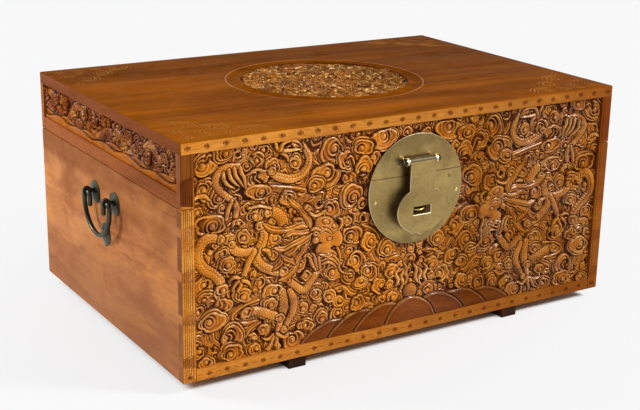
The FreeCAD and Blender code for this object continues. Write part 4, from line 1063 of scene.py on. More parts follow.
def carve_strip(seed):
    """A strip of large scrolls with a winding body above a bank of waves along its foot."""
    half = STRIP_LENGTH / 2
    sheet = Carving(-half, half, 0.0, STRIP_HEIGHT)
    chance = np.random.default_rng(seed)
    for start in np.arange(-half, half, 58.0):
        points = [(start + 70 * share, 34 + 20 * math.sin(4.2 * share + start) + 5 * chance.random())
                  for share in (0.0, 0.3, 0.6, 1.0)]
        ribbon(sheet, points, 7.0, 3, -3.8)
    fill_with_clouds(sheet, 6.0, 12.0, -3.6, 2.4, seed + 1, 0, 1.0)
    for number, x in enumerate(np.arange(-half + 12, half, 24.0)):
        z = (50.0, 33.0, 44.0, 27.0)[number % 4] + chance.uniform(-3.0, 3.0)
        radius = chance.uniform(9.5, 13.5)
        cloud(sheet, x, z, radius, chance.uniform(1.0, 1.35), chance.uniform(-0.6, 0.6), 1 if number % 3 else -1,
              3 + number % 2, chance.uniform(0.0, 6.2), -0.9 - 1.5 * chance.random(), 0, 0.08)
    winding = [(x, 37 + STRIP_COIL * math.sin(x / 24.0)) for x in np.arange(-half + 10, half - 10, 16.0)]
    for first in range(0, len(winding) - 5, 7):
        body(sheet, winding[first:first + 5], (3.5, 7.0, 8.0, 7.0, 3.5), -0.9, 0, 1 if first % 2 else -1, 5.5)
    for x in np.arange(-half + 22, half - 10, 46.0):
        lean = chance.uniform(-1.0, 1.0)
        fan(sheet, x, chance.uniform(24.0, 50.0), 1.2 + lean, 2.8 + lean, 3, chance.uniform(14, 19), 3.2, -0.7,
            chance.uniform(-1.2, 1.2))
    wave = np.arange(-half - 20, half + 30, 9.0)
    for level, rise, shift in ((-5.4, 17.0, 0.0), (-3.6, 11.0, 2.4)):
        outline = [(x, rise + 3.4 * math.sin(x / 17.0 + shift) + 2.0 * math.sin(x / 41.0)) for x in wave]
        petal(sheet, outline, 0.0, level)
    finish_ground(sheet, seed)
    sheet.marks = dirt_shade_wear_sheen_marks(sheet.height)
    return sheet


# The disc of the top, carved at one and a half times its size and then brought down
DISC_SCALE = 1.5
DISC_RADIUS = 160.7
CURL_REACH = 161.0
CURL_RINGS = ((0.87, 21, 0.091), (0.627, 15, 0.096), (0.391, 9, 0.094), (0.168, 3, 0.075))
COILS_OF_DISC = (
    ((-185, 70), (-150, 100), (-105, 95), (-70, 60), (-30, 55), (5, 85)),
    ((70, 150), (115, 135), (145, 90), (125, 45), (85, 20), (95, -25), (140, -45)),
    ((-60, -40), (-20, -75), (30, -70), (60, -110), (110, -120)),
)
BACKS_OF_DISC = (
    ((-222, -92), (-190, -99), (-150, -102), (-112, -98)),
    ((20, -170), (60, -160), (105, -165)),
    ((-40, 190), (0, 180), (45, 186)),
)


def curl_places():
    """The large curls of the top's disc, ring by ring, each a little off its even place."""
    for ring, (reach, count, radius) in enumerate(CURL_RINGS):
        for number in range(count):
            sway = math.sin(2.3 * number + 1.7 * ring)
            turn = 0.12 + math.tau * (number + 0.2 * sway) / count + 0.5 * ring
            out = CURL_REACH * (reach + 0.0186 * math.cos(3.1 * number + ring))
            yield *polar(0.0, 0.0, out, turn), CURL_REACH * radius * (1 + 0.1 * sway)


def carve_disc():
    """Large curls in rings, with dragons' coils and smooth backs laid over them, round a pearl."""
    reach = DISC_SCALE * DISC_RADIUS + 3
    sheet = Carving(-reach, reach, -reach, reach)
    for number, (x, z, radius) in enumerate(curl_places()):
        cloud(sheet, DISC_SCALE * x, DISC_SCALE * z, DISC_SCALE * radius, 1.12, 0.8 * number, 1 if number % 3 else -1,
              3 + number % 3, 2.4 * number, -0.9 - 0.9 * (number * 5 % 4), 1, 0.06)
    fill_with_clouds(sheet, 8.0, 13.0, -3.0, 3.0, 77, 0, 0.97)
    boss(sheet, 0.0, 0.0, 17.0, 17.0, 0.0, -0.4, 9.0)
    for number, points in enumerate(COILS_OF_DISC):
        body(sheet, points, (3.5, 8.0, 9.5, 9.0, 7.0, 3.5), -0.8, 1 if number % 2 else -1, 0, 5.5)
        for place in points[1:-1:2]:
            fan(sheet, *place, number + 0.3, number + 2.0, 3, 24.0, 3.6, -1.2, 0.8)
    for points in BACKS_OF_DISC:
        tube(sheet, points, (3.0, 7.0, 8.0, 7.0, 3.0), -0.4, 0.5)
    finish_ground(sheet)
    sheet.marks = dirt_shade_wear_sheen_marks(sheet.height)
    return sheet


# Corner ornaments of the top: scalloped lines across the corner with curls behind them, seen from the corner
CORNER_WIDE = 196.0
CORNER_DEEP = 150.0
CORNER_INSET = 13.0
CORNER_LINES = (
    ((176, 24), (163, 44), (140, 52), (121, 46)), ((119, 50), (116, 74), (100, 88), (80, 84)),
    ((78, 88), (76, 110), (60, 124), (38, 122)), ((36, 124), (32, 134), (26, 140), (18, 142)),
    ((168, 24), (158, 38), (141, 45), (122, 38)), ((111, 50), (108, 70), (96, 80), (80, 76)),
    ((70, 86), (68, 104), (56, 116), (38, 114)),
)
# Curls behind the lines: x, z, radius, turn
CORNER_CURLS = (
    (142, 30, 9, 0.4), (96, 62, 10, 1.5), (54, 98, 9, 2.4), (104, 26, 8, 0.2),
    (62, 52, 9, 1.0), (26, 72, 8, 2.0), (30, 30, 10, 0.8), (70, 22, 6, 0.0),
)


def engrave(sheet, points, depth, width, ease, from_start=False):
    """A thin line cut into the panel, shallower towards its ends, or towards its start alone."""
    area, best, along, _, total = trail(sheet, points, 5.0)
    run = along if from_start else np.minimum(along, total - along)
    sheet.height[area] -= depth * smooth(run / ease) * np.exp(-(best / width) ** 2)


def carve_corner():
    """Shallow lines, curls and short dark cuts, almost flush with the top."""
    sheet = Carving(CORNER_INSET, CORNER_WIDE, CORNER_INSET, CORNER_DEEP, 0.0)
    for points in CORNER_LINES:
        engrave(sheet, points, 1.7, 1.1, 6.0)
    for x, z, radius, turn in CORNER_CURLS:
        spiral = [polar(x, z, radius * (1 - 0.75 * share), turn + 5.2 * share)
                  for share in (0.0, 0.15, 0.3, 0.45, 0.6, 0.75, 0.9, 1.0)]
        engrave(sheet, spiral, 1.5, 1.0, 5.0, True)
        for number in range(3):
            swing = turn + 3.6 + 0.5 * number
            engrave(sheet, [polar(x, z, radius + more, swing) for more in (2, 5, 8)], 2.0, 1.0, 2.0)
    sheet.height = np.clip(sheet.height, -2.6, 0.0)
    # Marks that the top's material paints as shade in the cuts and as highlights on the edges.
    hollow = np.clip(-sheet.height / 1.6, 0.0, 1.0)
    crest = np.clip(0.9 * (sheet.height - blurred(sheet.height, 4)), 0.0, 1.0) * (sheet.height > -0.4)
    sheet.marks = (hollow, crest)
    return sheet


# Meshes
RELIEF_STEP = 2
DISC_RINGS = 140
DISC_SPOKES = 640
MERGE_DISTANCE = 1e-6


def new_object(name, mesh):
    """An object at the origin that shows a mesh."""
    made = bpy.data.objects.new(name, mesh)
    bpy.context.scene.collection.objects.link(made)
    return made


def mesh_from_loops(name, points, loops, sizes):
    """A mesh from points and faces given as one run of corner numbers."""
    mesh = bpy.data.meshes.new(name)
    mesh.vertices.add(len(points))
    mesh.vertices.foreach_set("co", np.asarray(points, np.float32).ravel())
    mesh.loops.add(len(loops))
    mesh.loops.foreach_set("vertex_index", np.asarray(loops, np.int32))
    starts = np.concatenate([[0], np.cumsum(sizes)[:-1]])
    mesh.polygons.add(len(sizes))
    mesh.polygons.foreach_set("loop_start", starts.astype(np.int32))
    mesh.polygons.foreach_set("loop_total", np.asarray(sizes, np.int32))
    mesh.update(calc_edges=True)
    mesh.validate()
    return mesh


def set_attribute(mesh, name, values):
    """A number for each point, which the materials read by name."""
    layer = mesh.attributes.new(name, "FLOAT", "POINT")
    layer.data.foreach_set("value", np.asarray(values, np.float32))


def dirt_shade_wear_sheen_marks(height):
    """How deep each place of a carving lies among its neighbours, and how far it stands out. The materials paint the
    hollows dark, as dirt and painted shade that also darkens the flanks of rounded forms, and the crests pale, as wear
    and painted highlight.
    """
    near, mid, far = (blurred(height, radius) - height for radius in (2, 5, 12))
    hollow = np.clip(0.65 * near, 0.0, 0.6) + np.clip(0.22 * mid, 0.0, 0.6) + np.clip(0.2 * far + 0.05, 0.0, 0.8)
    hollow = hollow + 0.6 * smooth((-5.0 - height) / 4.0)
    crest = np.clip(-0.8 * near, 0.0, 0.6) + np.clip(-0.22 * mid, 0.0, 0.6) + np.clip(-0.1 * far - 0.05, 0.0, 0.4)
    return np.clip(hollow, 0.0, 1.0), np.clip(crest, 0.0, 1.0)


class Panel:
    """Where a carving lies: its middle on the board's face, and the directions along it, up it and out of it."""

    def __init__(self, middle, along, up):
        self.middle = np.array(middle, float)
        self.along = np.array(along, float)
        self.up = np.array(up, float)
        self.out = np.cross(self.along, self.up)

    def points(self, x, z, height):
        """Points in metres for arrays of panel coordinates in millimetres."""
        x, z, height = (np.asarray(value, float)[..., None] for value in (x, z, height))
        return (self.middle + x * self.along + z * self.up + height * self.out) * MM


def softened(sheet, depth_share):
    """The carving's heights, a little smoothed, at a share of their depth."""
    return depth_share * (0.5 * sheet.height + 0.5 * blurred(sheet.height, 1))


def relief_object(name, points, loops, sizes, smooth_flags, marks):
    """An object for a carving's mesh, with what the materials read of it."""
    mesh = mesh_from_loops(name, points, loops, sizes)
    for mark, values in zip(("hollow", "crest", "plain"), marks):
        rest = np.zeros(len(points) - values.size)
        set_attribute(mesh, mark, np.concatenate([values.ravel(), rest]))
    mesh.polygons.foreach_set("use_smooth", smooth_flags)
    return new_object(name, mesh)


def carved_block(name, sheet, panel, back, depth_share=1.0, across=None, upright=None):
    """A closed block whose face is a carving, or the part of it between two columns and two rows."""
    first, last = across or (0, sheet.columns - 1)
    bottom, top = upright or (0, sheet.rows - 1)
    columns = np.arange(first, last + 1, RELIEF_STEP)
    rows = np.arange(bottom, top + 1, RELIEF_STEP)
    picked = np.ix_(rows, columns)
    xs = sheet.left + SAMPLE * columns
    zs = sheet.low + SAMPLE * rows
    px, pz = np.meshgrid(xs, zs)
    face = panel.points(px, pz, softened(sheet, depth_share)[picked]).reshape(-1, 3)
    corners = panel.points(xs[[0, -1, -1, 0]], zs[[0, 0, -1, -1]], [back] * 4)
    points = np.vstack([face, corners])
    wide, tall = len(columns), len(rows)
    number = np.arange(wide * tall).reshape(tall, wide)
    quads = np.stack([number[:-1, :-1], number[:-1, 1:], number[1:, 1:], number[1:, :-1]], -1).reshape(-1, 4)
    low_left, low_right, high_right, high_left = range(wide * tall, wide * tall + 4)
    sides = [
        [low_left, low_right] + list(number[0, ::-1]),
        [low_right, high_right] + list(number[::-1, -1]),
        list(number[-1, :]) + [high_right, high_left],
        list(number[:, 0]) + [high_left, low_left],
        [low_left, high_left, high_right, low_right],
    ]
    loops = np.concatenate([quads.ravel()] + [np.array(side) for side in sides])
    sizes = np.concatenate([np.full(len(quads), 4), [len(side) for side in sides]])
    marks = [field[picked] for field in (*sheet.marks, sheet.plain)]
    return relief_object(name, points, loops, sizes, np.arange(len(sizes)) < len(quads), marks)


def carved_disc(name, sheet, panel, radius, back, scale, depth_share):
    """A closed round block whose face is a carving that was made at a larger scale."""
    rings, spokes = DISC_RINGS, DISC_SPOKES
    height = softened(sheet, depth_share)
    turn = np.linspace(0.0, 2 * math.pi, spokes, endpoint=False)
    share = np.arange(1, rings + 1) / rings
    px = np.outer(share * radius, np.cos(turn))
    pz = np.outer(share * radius, np.sin(turn))

    def picked(field):
        column = (scale * px - sheet.left) / SAMPLE
        row = (scale * pz - sheet.low) / SAMPLE
        c, r = np.floor(column).astype(int), np.floor(row).astype(int)
        a, b = column - c, row - r
        return ((field[r, c] * (1 - a) + field[r, c + 1] * a) * (1 - b)
                + (field[r + 1, c] * (1 - a) + field[r + 1, c + 1] * a) * b)

    centre = int(-sheet.low / SAMPLE), int(-sheet.left / SAMPLE)
    face = panel.points(px, pz, picked(height)).reshape(-1, 3)
    under = panel.points(px[-1], pz[-1], np.full(spokes, back))
    middle = panel.points([0.0], [0.0], [height[centre]])
    points = np.vstack([face, under, middle])
    number = np.arange(rings * spokes).reshape(rings, spokes)
    ahead = np.roll(number, -1, axis=1)
    quads = np.stack([number[:-1], number[1:], ahead[1:], ahead[:-1]], -1).reshape(-1, 4)
    foot = np.arange(spokes) + rings * spokes
    wall = np.stack([number[-1], foot, np.roll(foot, -1), ahead[-1]], -1)
    heart = np.stack([np.full(spokes, len(points) - 1), number[0], ahead[0]], -1)
    loops = np.concatenate([quads.ravel(), wall.ravel(), heart.ravel(), foot[::-1]])
    sizes = np.concatenate([np.full(len(quads) + spokes, 4), np.full(spokes, 3), [spokes]])
    flags = np.repeat([True, False, True, False], [len(quads), spokes, spokes, 1])
    return relief_object(name, points, loops, sizes, flags, [picked(mark) for mark in sheet.marks] + [np.zeros(0)])


def reshape(mesh, work):
    """Has a function work on a mesh's points, edges and faces."""
    form = bmesh.new()
    form.from_mesh(mesh)
    work(form)
    form.to_mesh(mesh)
    form.free()


def merged_copy(node, name, material):
    """A copy of a CAD node's mesh with its loose triangles joined."""
    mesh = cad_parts[node].data.copy()
    mesh.name = name
    reshape(mesh, lambda form: bmesh.ops.remove_doubles(form, verts=form.verts, dist=MERGE_DISTANCE))
    mesh.materials.clear()
    mesh.materials.append(material)
    if "custom_normal" in mesh.attributes:
        mesh.attributes.remove(mesh.attributes["custom_normal"])
    return new_object(name, mesh)


def finished(piece):
    """The piece with its modifiers worked into a plain mesh."""
    view = bpy.context.evaluated_depsgraph_get()
    view.update()
    mesh = bpy.data.meshes.new_from_object(piece.evaluated_get(view))
    piece.modifiers.clear()
    old = piece.data
    piece.data = mesh
    if old.users == 0:
        bpy.data.meshes.remove(old)
    mesh.name = piece.name
    return piece


def paint_where(board, material, chosen):
    """Gives the chosen faces a finish of their own, by their normal and the place of their middle in millimetres."""
    board.data.materials.append(material)
    for face in board.data.polygons:
        if chosen(face.normal, *(face.center / MM)):
            face.material_index = len(board.data.materials) - 1


def smooth_by_angle(mesh, degrees):
    """Smooth faces that meet sharply where they turn by more than an angle."""
    mesh.polygons.foreach_set("use_smooth", np.ones(len(mesh.polygons), bool))
    mesh.set_sharp_from_angle(angle=math.radians(degrees))


def box(low, high):
    """The corners and faces of a closed box, in millimetres."""
    (x0, y0, z0), (x1, y1, z1) = low, high
    return prism([(x0, y0), (x1, y0), (x1, y1), (x0, y1)], z0, z1)


def prism(outline, low, high):
    """The corners and faces of an upright prism, in millimetres."""
    return [(x, y, level) for level in (low, high) for x, y in outline], closed_faces(len(outline))


def closed_faces(count):
    """The faces of a closed form between two rings of corners, numbered one after the other."""
    walls = [(a, (a + 1) % count, (a + 1) % count + count, a + count) for a in range(count)]
    return [tuple(range(count))[::-1], tuple(range(count, 2 * count))] + walls


def gathered(name, forms, material=None):
    """One mesh from several lists of points in millimetres and faces."""
    points, faces = [], []
    for form_points, form_faces in forms:
        faces += [tuple(len(points) + corner for corner in face) for face in form_faces]
        points += [Vector(point) * MM for point in form_points]
    mesh = bpy.data.meshes.new(name)
    mesh.from_pydata(points, [], faces)
    mesh.update()
    if material:
        mesh.materials.append(material)
    return new_object(name, mesh)


def worked(board, *cutters):
    """The board less what the cutters cover, whose cut faces keep the cutters' finish."""
    for number, cutter in enumerate(cutters):
        cut = board.modifiers.new("cut_%d" % number, "BOOLEAN")
        cut.operation = "DIFFERENCE"
        cut.solver = "EXACT"
        cut.material_mode = "TRANSFER"
        cut.object = cutter
    finished(board)
    for cutter in cutters:
        bpy.data.objects.remove(cutter)
    smooth_by_angle(board.data, 30)
    return board


# Pieces
POCKET_DEPTH = 11.5
STRIP_FOOT = 343.0
STRIP_POCKET = 9.0
STRIP_MARGIN = 15.0
CORNER_POCKET = 4.0
DISC_POCKET = 8.5
DISC_SIDES = 160
STAMP_COUNT = 27
STAMP_DEPTH = 1.0
STAMP_ROW_START = -0.5 * STAMP_PITCH * (STAMP_COUNT - 1)
LINE_HALF_WIDTH = 0.45
LINE_DEPTH = 0.9
LINE_OVERSHOOT = 2.0
LEFT_SCRIBED_LINES = (4.6, 8.0, 11.4, 14.8)
STILE_BEAD = (18.4, 23.2)
BASE_SPAN = (FOOT_OF_BOARDS, SEAM_LOW)
LID_SPAN = (SEAM_HIGH, LID_BOARDS_TOP)
LID_CORNER_FOOT = 370.0
OVERSHOOT = 5.0
END_TOLERANCE = 0.3
LINE_REACH = 1.5
TOP_PLANKS = ("top_plank_front", "top_plank_middle", "top_plank_rear")


def dressed(piece, body, slot, *materials):
    """A finished piece with its body and its materials. The record slot that it is given is not used."""
    if materials:
        piece.data.materials.clear()
        for material in materials:
            piece.data.materials.append(material)
    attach(piece, body)
    return piece


def at_board_end(out, x, y, z):
    """The faces at the left and right ends of the trunk's boards."""
    return abs(x) > HALF_WIDTH - END_TOLERANCE


def paint_front(board, material, foot=0.0):
    """Gives the faces that look out at the front, above a height, a finish of their own."""
    paint_where(board, material, lambda out, x, y, z: y < FRONT_FACE + LINE_REACH and z > foot)


def stamp_row_nodes():
    """A row of stamped marks: the mesh given is repeated along X, each a little out of true."""
    tree = bpy.data.node_groups.new("row of stamped marks", "GeometryNodeTree")
    for name, kind in (("Geometry", "Geometry"), ("Count", "Int"), ("Pitch", "Float"), ("Start", "Vector"),
                       ("Unevenness", "Float"), ("Seed", "Int"), ("Finish", "Material")):
        tree.interface.new_socket(name=name, in_out="INPUT", socket_type="NodeSocket" + kind)
    tree.interface.new_socket(name="Geometry", in_out="OUTPUT", socket_type="NodeSocketGeometry")
    given = put(tree, "NodeGroupInput")

    def uneven(low, high):
        """A value of its own for each mark."""
        feeds = {"Min": low, "Max": high, "Seed": given["Seed"]}
        return put(tree, "FunctionNodeRandomValue", feeds, data_type="FLOAT_VECTOR")[0]

    line = {"Count": given["Count"], "Start Location": given["Start"], "Offset": joined(tree, given["Pitch"])}
    row = put(tree, "GeometryNodeMeshLine", line, mode="OFFSET")[0]
    shift = {0: uneven((-1, 0, -1), (1, 0, 1)), "Scale": given["Unevenness"]}
    shift = put(tree, "ShaderNodeVectorMath", shift, operation="SCALE")[0]
    placed = put(tree, "GeometryNodeSetPosition", {"Geometry": row, "Offset": shift})[0]
    marks = put(tree, "GeometryNodeInstanceOnPoints", {
        "Points": placed, "Instance": given["Geometry"],
        "Rotation": uneven((0, -0.2, 0), (0, 0.2, 0)), "Scale": uneven((0.85, 1, 0.85), (1.1, 1, 1.1)),
    })[0]
    solid = put(tree, "GeometryNodeRealizeInstances", {"Geometry": marks})[0]
    painted = put(tree, "GeometryNodeSetMaterial", {"Geometry": solid, "Material": given["Finish"]})[0]
    put(tree, "NodeGroupOutput", {0: painted})
    return tree


def repeated(host, tree, values):
    """The host's mesh after a node tree has worked on it with the values given by name."""
    work = host.modifiers.new("work", "NODES")
    work.node_group = tree
    for item in tree.interface.items_tree:
        if item.in_out == "INPUT" and item.name in values:
            work[item.identifier] = values[item.name]
    return finished(host)


def petal_prism(turn, inner, outer, half, depth):
    """One pressed petal of a stamp, cut into a face that looks along -Y."""
    shoulder, tip = 0.6 * inner + 0.4 * outer, 0.2 * inner + 0.8 * outer
    corners = ((inner, 0), (shoulder, half), (tip, 0.8 * half), (outer, 0), (tip, -0.8 * half), (shoulder, -half))
    outline = [(reach * math.cos(turn) - side * math.sin(turn), reach * math.sin(turn) + side * math.cos(turn))
               for reach, side in corners]
    points = [(x, -1.0, z) for x, z in outline] + [(0.7 * x, depth, 0.7 * z) for x, z in outline]
    return points, closed_faces(len(outline))


def stamp_row(name, forms, first_x, height, count, seed, finish):
    """A row of stamps along the front."""
    values = {"Count": count, "Pitch": STAMP_PITCH * MM, "Start": Vector((first_x, FRONT_FACE, height)) * MM,
              "Unevenness": 0.8 * MM, "Seed": seed, "Finish": finish}
    return repeated(gathered(name, forms), STAMP_ROW, values)


# Each slit of a stamp: its place and its half height, as shares of the stamp
STAMP_SLITS = ((0.0, 1.0), (-0.38, 0.85), (0.38, 0.85), (-0.76, 0.55), (0.76, 0.55))


def flower(size):
    """A stamp of five upright pressed slits, the middle one the tallest."""
    slits = []
    for place, height in STAMP_SLITS:
        points, faces = petal_prism(0.5 * math.pi, -height * size, height * size, 0.13 * size, STAMP_DEPTH)
        slits.append(([(x + place * size, y, z) for x, y, z in points], faces))
    return slits


def front_carvings(wood):
    """The carved front, in three blocks on the base and one on the lid."""
    sheet = Carving(-STILE_EDGE, STILE_EDGE, PANEL_FOOT, LID_BOARDS_TOP - FOOT_OF_BOARDS)
    carve_front(sheet)
    sheet.marks = dirt_shade_wear_sheen_marks(sheet.height)
    panel = Panel((0.0, FRONT_FACE, FOOT_OF_BOARDS), (1, 0, 0), (0, 0, 1))
    seam_low, seam_high = (int(round((seam - RAIL_TOP) / SAMPLE)) for seam in (SEAM_LOW, SEAM_HIGH))
    last = sheet.columns - 1
    thirds = (0, 2 * (last // 6), 2 * (last // 3), last)
    for name, *across in zip(("left", "middle", "right"), thirds, thirds[1:]):
        block = carved_block("base_front_carving_" + name, sheet, panel, -POCKET_DEPTH, 1.0, across, (0, seam_low))
        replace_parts(dressed(block, "base", "carved_camphor", wood), "base_front_board")
    block = carved_block("lid_front_carving", sheet, panel, -POCKET_DEPTH, upright=(seam_high, sheet.rows - 1))
    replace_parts(dressed(block, "lid", "carved_camphor", wood), "lid_front_board")


def stile_lines(sign):
    """The lines of one front stile: two beside its bead, and the scribed ones that only the left stile has."""
    return [sign * (HALF_WIDTH - place) for place in STILE_BEAD + (LEFT_SCRIBED_LINES if sign < 0 else ())]


def grooves(places, span, finish):
    """Thin upright grooves of the front stiles, as boxes to cut."""
    low, high = span[0] - LINE_OVERSHOOT, span[1] + LINE_OVERSHOOT
    near, far = FRONT_FACE - LINE_OVERSHOOT, FRONT_FACE + LINE_DEPTH
    boxes = [box((x - LINE_HALF_WIDTH, near, low), (x + LINE_HALF_WIDTH, far, high)) for x in places]
    return gathered("grooves", boxes, finish)


def front_pocket(low, high, finish):
    """The recess of the front for its carving, as a box to cut."""
    corners = (-STILE_EDGE, FRONT_FACE - OVERSHOOT, low), (STILE_EDGE, FRONT_FACE + POCKET_DEPTH, high)
    return gathered("front_pocket", [box(*corners)], finish)


def front_frames(wood, dark, yellow, ends):
    """The boards round the carved front: stiles with a bead, scribed lines, and rails with stamped flowers."""
    flowers = stamp_row("foot_flowers", flower(5.6), STAMP_ROW_START, FOOT_STAMP_Z, STAMP_COUNT, 5, dark)
    dashes = [petal_prism(math.pi, 2.0, 5.4, 0.7, 0.8), petal_prism(0.0, 2.0, 5.4, 0.7, 0.8),
              petal_prism(0.5 * math.pi, -1.3, 1.3, 0.9, 0.8)]
    between = STAMP_ROW_START + 0.5 * STAMP_PITCH
    dash_row = stamp_row("foot_dashes", dashes, between, FOOT_STAMP_Z, STAMP_COUNT - 1, 8, dark)
    base = worked(merged_copy("base_front_board", "base_front_frame", wood),
                  front_pocket(RAIL_TOP, SEAM_LOW + OVERSHOOT, wood),
                  grooves(stile_lines(-1) + stile_lines(1), BASE_SPAN, dark), flowers, dash_row)
    paint_where(base, ends, at_board_end)
    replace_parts(dressed(base, "base", "carved_camphor"), "base_front_board")
    beads = [side * (HALF_WIDTH - place) for side in (-1, 1) for place in STILE_BEAD]
    lid = worked(merged_copy("lid_front_board", "lid_front_frame", wood),
                 front_pocket(SEAM_HIGH - OVERSHOOT, LID_BOARDS_TOP + OVERSHOOT, wood), grooves(beads, LID_SPAN, dark))
    paint_front(lid, yellow, LID_CORNER_FOOT)
    paint_where(lid, ends, at_board_end)
    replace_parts(dressed(lid, "lid", "carved_camphor"), "lid_front_board")


def edged(node, body, finish, rim, width, out=0.0):
    """A copy of a metal node whose front edges, as far out from the plate's middle as given, are bevelled in a pale
    brass: partly rubbed wear, partly a painted highlight.
    """
    def rub(form):
        bmesh.ops.dissolve_limit(form, angle_limit=math.radians(2), verts=form.verts, edges=form.edges)
        fronts = [edge for edge in form.edges if len(edge.link_faces) == 2
                  and min(face.normal.y for face in edge.link_faces) < -0.97
                  and edge.calc_face_angle(0.0) > math.radians(50)
                  and min(math.hypot(end.co.x / MM, end.co.z / MM - PLATE_CENTRE_Z) for end in edge.verts) > out]
        bmesh.ops.bevel(form, geom=fronts, offset=width * MM, segments=1, affect="EDGES", clamp_overlap=False,
                        material=1)

    piece = merged_copy(node, node + "_worn", finish)
    piece.data.materials.append(rim)
    reshape(piece.data, rub)
    smooth_by_angle(piece.data, 30)
    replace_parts(dressed(piece, body, "aged_brass"), node)
    return piece


HASP_AXIS = (-316.618, 345.0)
BARREL_REACH = 7.6
DULL_NAIL = (65.0, 300.0)


def lock_metal(plate, rim, barrel, nail, dull):
    """The lock plate, its hasp with a dark barrel, and its nails."""
    for part, body in (("lower", "base"), ("upper", "lid")):
        edged("lock_plate_" + part, body, plate, rim, 0.8, PLATE_RADIUS - 2.0)
    hasp = edged("hasp", "hasp", plate, rim, 1.0)
    paint_where(hasp, barrel, lambda out, x, y, z: math.hypot(y - HASP_AXIS[0], z - HASP_AXIS[1]) < BARREL_REACH)
    for node, finish in (("hasp_lugs", rim), ("hasp_pin", barrel)):
        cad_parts[node].material_slots[0].material = finish
    nails = merged_copy("lock_plate_nails_lower", "lock_plate_nails_worn", nail)
    paint_where(nails, dull, lambda out, x, y, z: x > DULL_NAIL[0] and z > DULL_NAIL[1])
    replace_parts(dressed(nails, "base", "bright_brass"), "lock_plate_nails_lower")


def base_sides(wood, ends, dark):
    """The side boards of the base, whose pins show at the front with the scribed lines across them."""
    for name, sign in (("left", -1), ("right", 1)):
        node = "base_%s_board" % name
        board = worked(merged_copy(node, "base_%s_panel" % name, wood), grooves(stile_lines(sign), BASE_SPAN, dark))
        paint_front(board, ends)
        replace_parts(dressed(board, "base", "side_camphor"), node)


def side_strips(wood, side, ends, dark):
    """The carved strips of the lid's sides and the boards round them."""
    for name, sign, seed in (("left", -1, 3), ("right", 1, 11)):
        panel = Panel((sign * HALF_WIDTH, MIDDLE_DEPTH, STRIP_FOOT), (0, sign, 0), (0, 0, 1))
        block = carved_block("lid_%s_carving" % name, carve_strip(seed), panel, -STRIP_POCKET, 0.8)
        node = "lid_%s_board" % name
        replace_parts(dressed(block, "lid", "lid_camphor", wood), node)
        outer, inner = sorted((sign * (HALF_WIDTH + OVERSHOOT), sign * (HALF_WIDTH - STRIP_POCKET)))
        corners = ((outer, FRONT_FACE + STRIP_MARGIN, STRIP_FOOT),
                   (inner, BACK_FACE - STRIP_MARGIN, LID_BOARDS_TOP + OVERSHOOT))
        board = worked(merged_copy(node, "lid_%s_frame" % name, side), gathered("pocket", [box(*corners)], side),
                       grooves(stile_lines(sign), LID_SPAN, dark))
        paint_front(board, ends)
        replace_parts(dressed(board, "lid", "lid_camphor"), node)


def flipped(sheet, right, back):
    """A corner carving turned over to another corner."""
    made = Carving(0.0, 1.0, 0.0, 1.0)
    made.columns, made.rows = sheet.columns, sheet.rows
    across, along = (-1 if right else 1), (-1 if back else 1)
    made.left = -CORNER_WIDE if right else CORNER_INSET
    made.low = -CORNER_DEEP if back else CORNER_INSET
    made.height, made.plain = sheet.height[::along, ::across], sheet.plain[::along, ::across]
    made.marks = tuple(mark[::along, ::across] for mark in sheet.marks)
    return made


# The turned bead round the disc and the groove that it lies in: radius, height above the top
GROOVE_PROFILE = ((186.4, 5.0), (186.4, -1.9), (191.6, -1.9), (191.6, 5.0))
BEAD_PROFILE = (
    (187.0, -1.8), (187.0, -0.9), (187.6, -0.35), (188.4, -0.05),
    (189.6, -0.05), (190.4, -0.35), (191.0, -0.9), (191.0, -1.8),
)
RING_SIDES = 200


def turned_ring(name, profile, material):
    """A ring about the middle of the top, from a closed profile of radius and height above the top."""
    count = len(profile)
    points, faces = [], []
    for side in range(RING_SIDES):
        turn = math.tau * side / RING_SIDES
        points += [(*polar(0.0, MIDDLE_DEPTH, radius, turn), TRUNK_TOP + rise) for radius, rise in profile]
        here, there = side * count, (side + 1) % RING_SIDES * count
        for corner in range(count):
            ahead = (corner + 1) % count
            faces.append((here + corner, here + ahead, there + ahead, there + corner))
    ring = gathered(name, [(points, faces)], material)
    reshape(ring.data, lambda form: bmesh.ops.recalc_face_normals(form, faces=form.faces))
    return ring


def corner_ornaments(wood):
    """The four corner ornaments of the top, and the boxes to cut for them out of the front and rear planks."""
    corner = carve_corner()
    cuts = {}
    for end, back, edge in (("front", False, FRONT_FACE), ("rear", True, BACK_FACE)):
        for side, right, x in (("left", False, -HALF_WIDTH), ("right", True, HALF_WIDTH)):
            sheet = flipped(corner, right, back)
            panel = Panel((x, edge, TRUNK_TOP), (1, 0, 0), (0, 1, 0))
            block = carved_block("top_%s_%s_corner" % (end, side), sheet, panel, -CORNER_POCKET)
            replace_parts(dressed(block, "lid", "top_camphor", wood), "top_plank_" + end)
            low = (x + sheet.left, edge + sheet.low, TRUNK_TOP - CORNER_POCKET)
            high = (low[0] + CORNER_WIDE - CORNER_INSET, low[1] + CORNER_DEEP - CORNER_INSET, TRUNK_TOP + OVERSHOOT)
            cuts.setdefault(end, []).append(box(low, high))
    return cuts


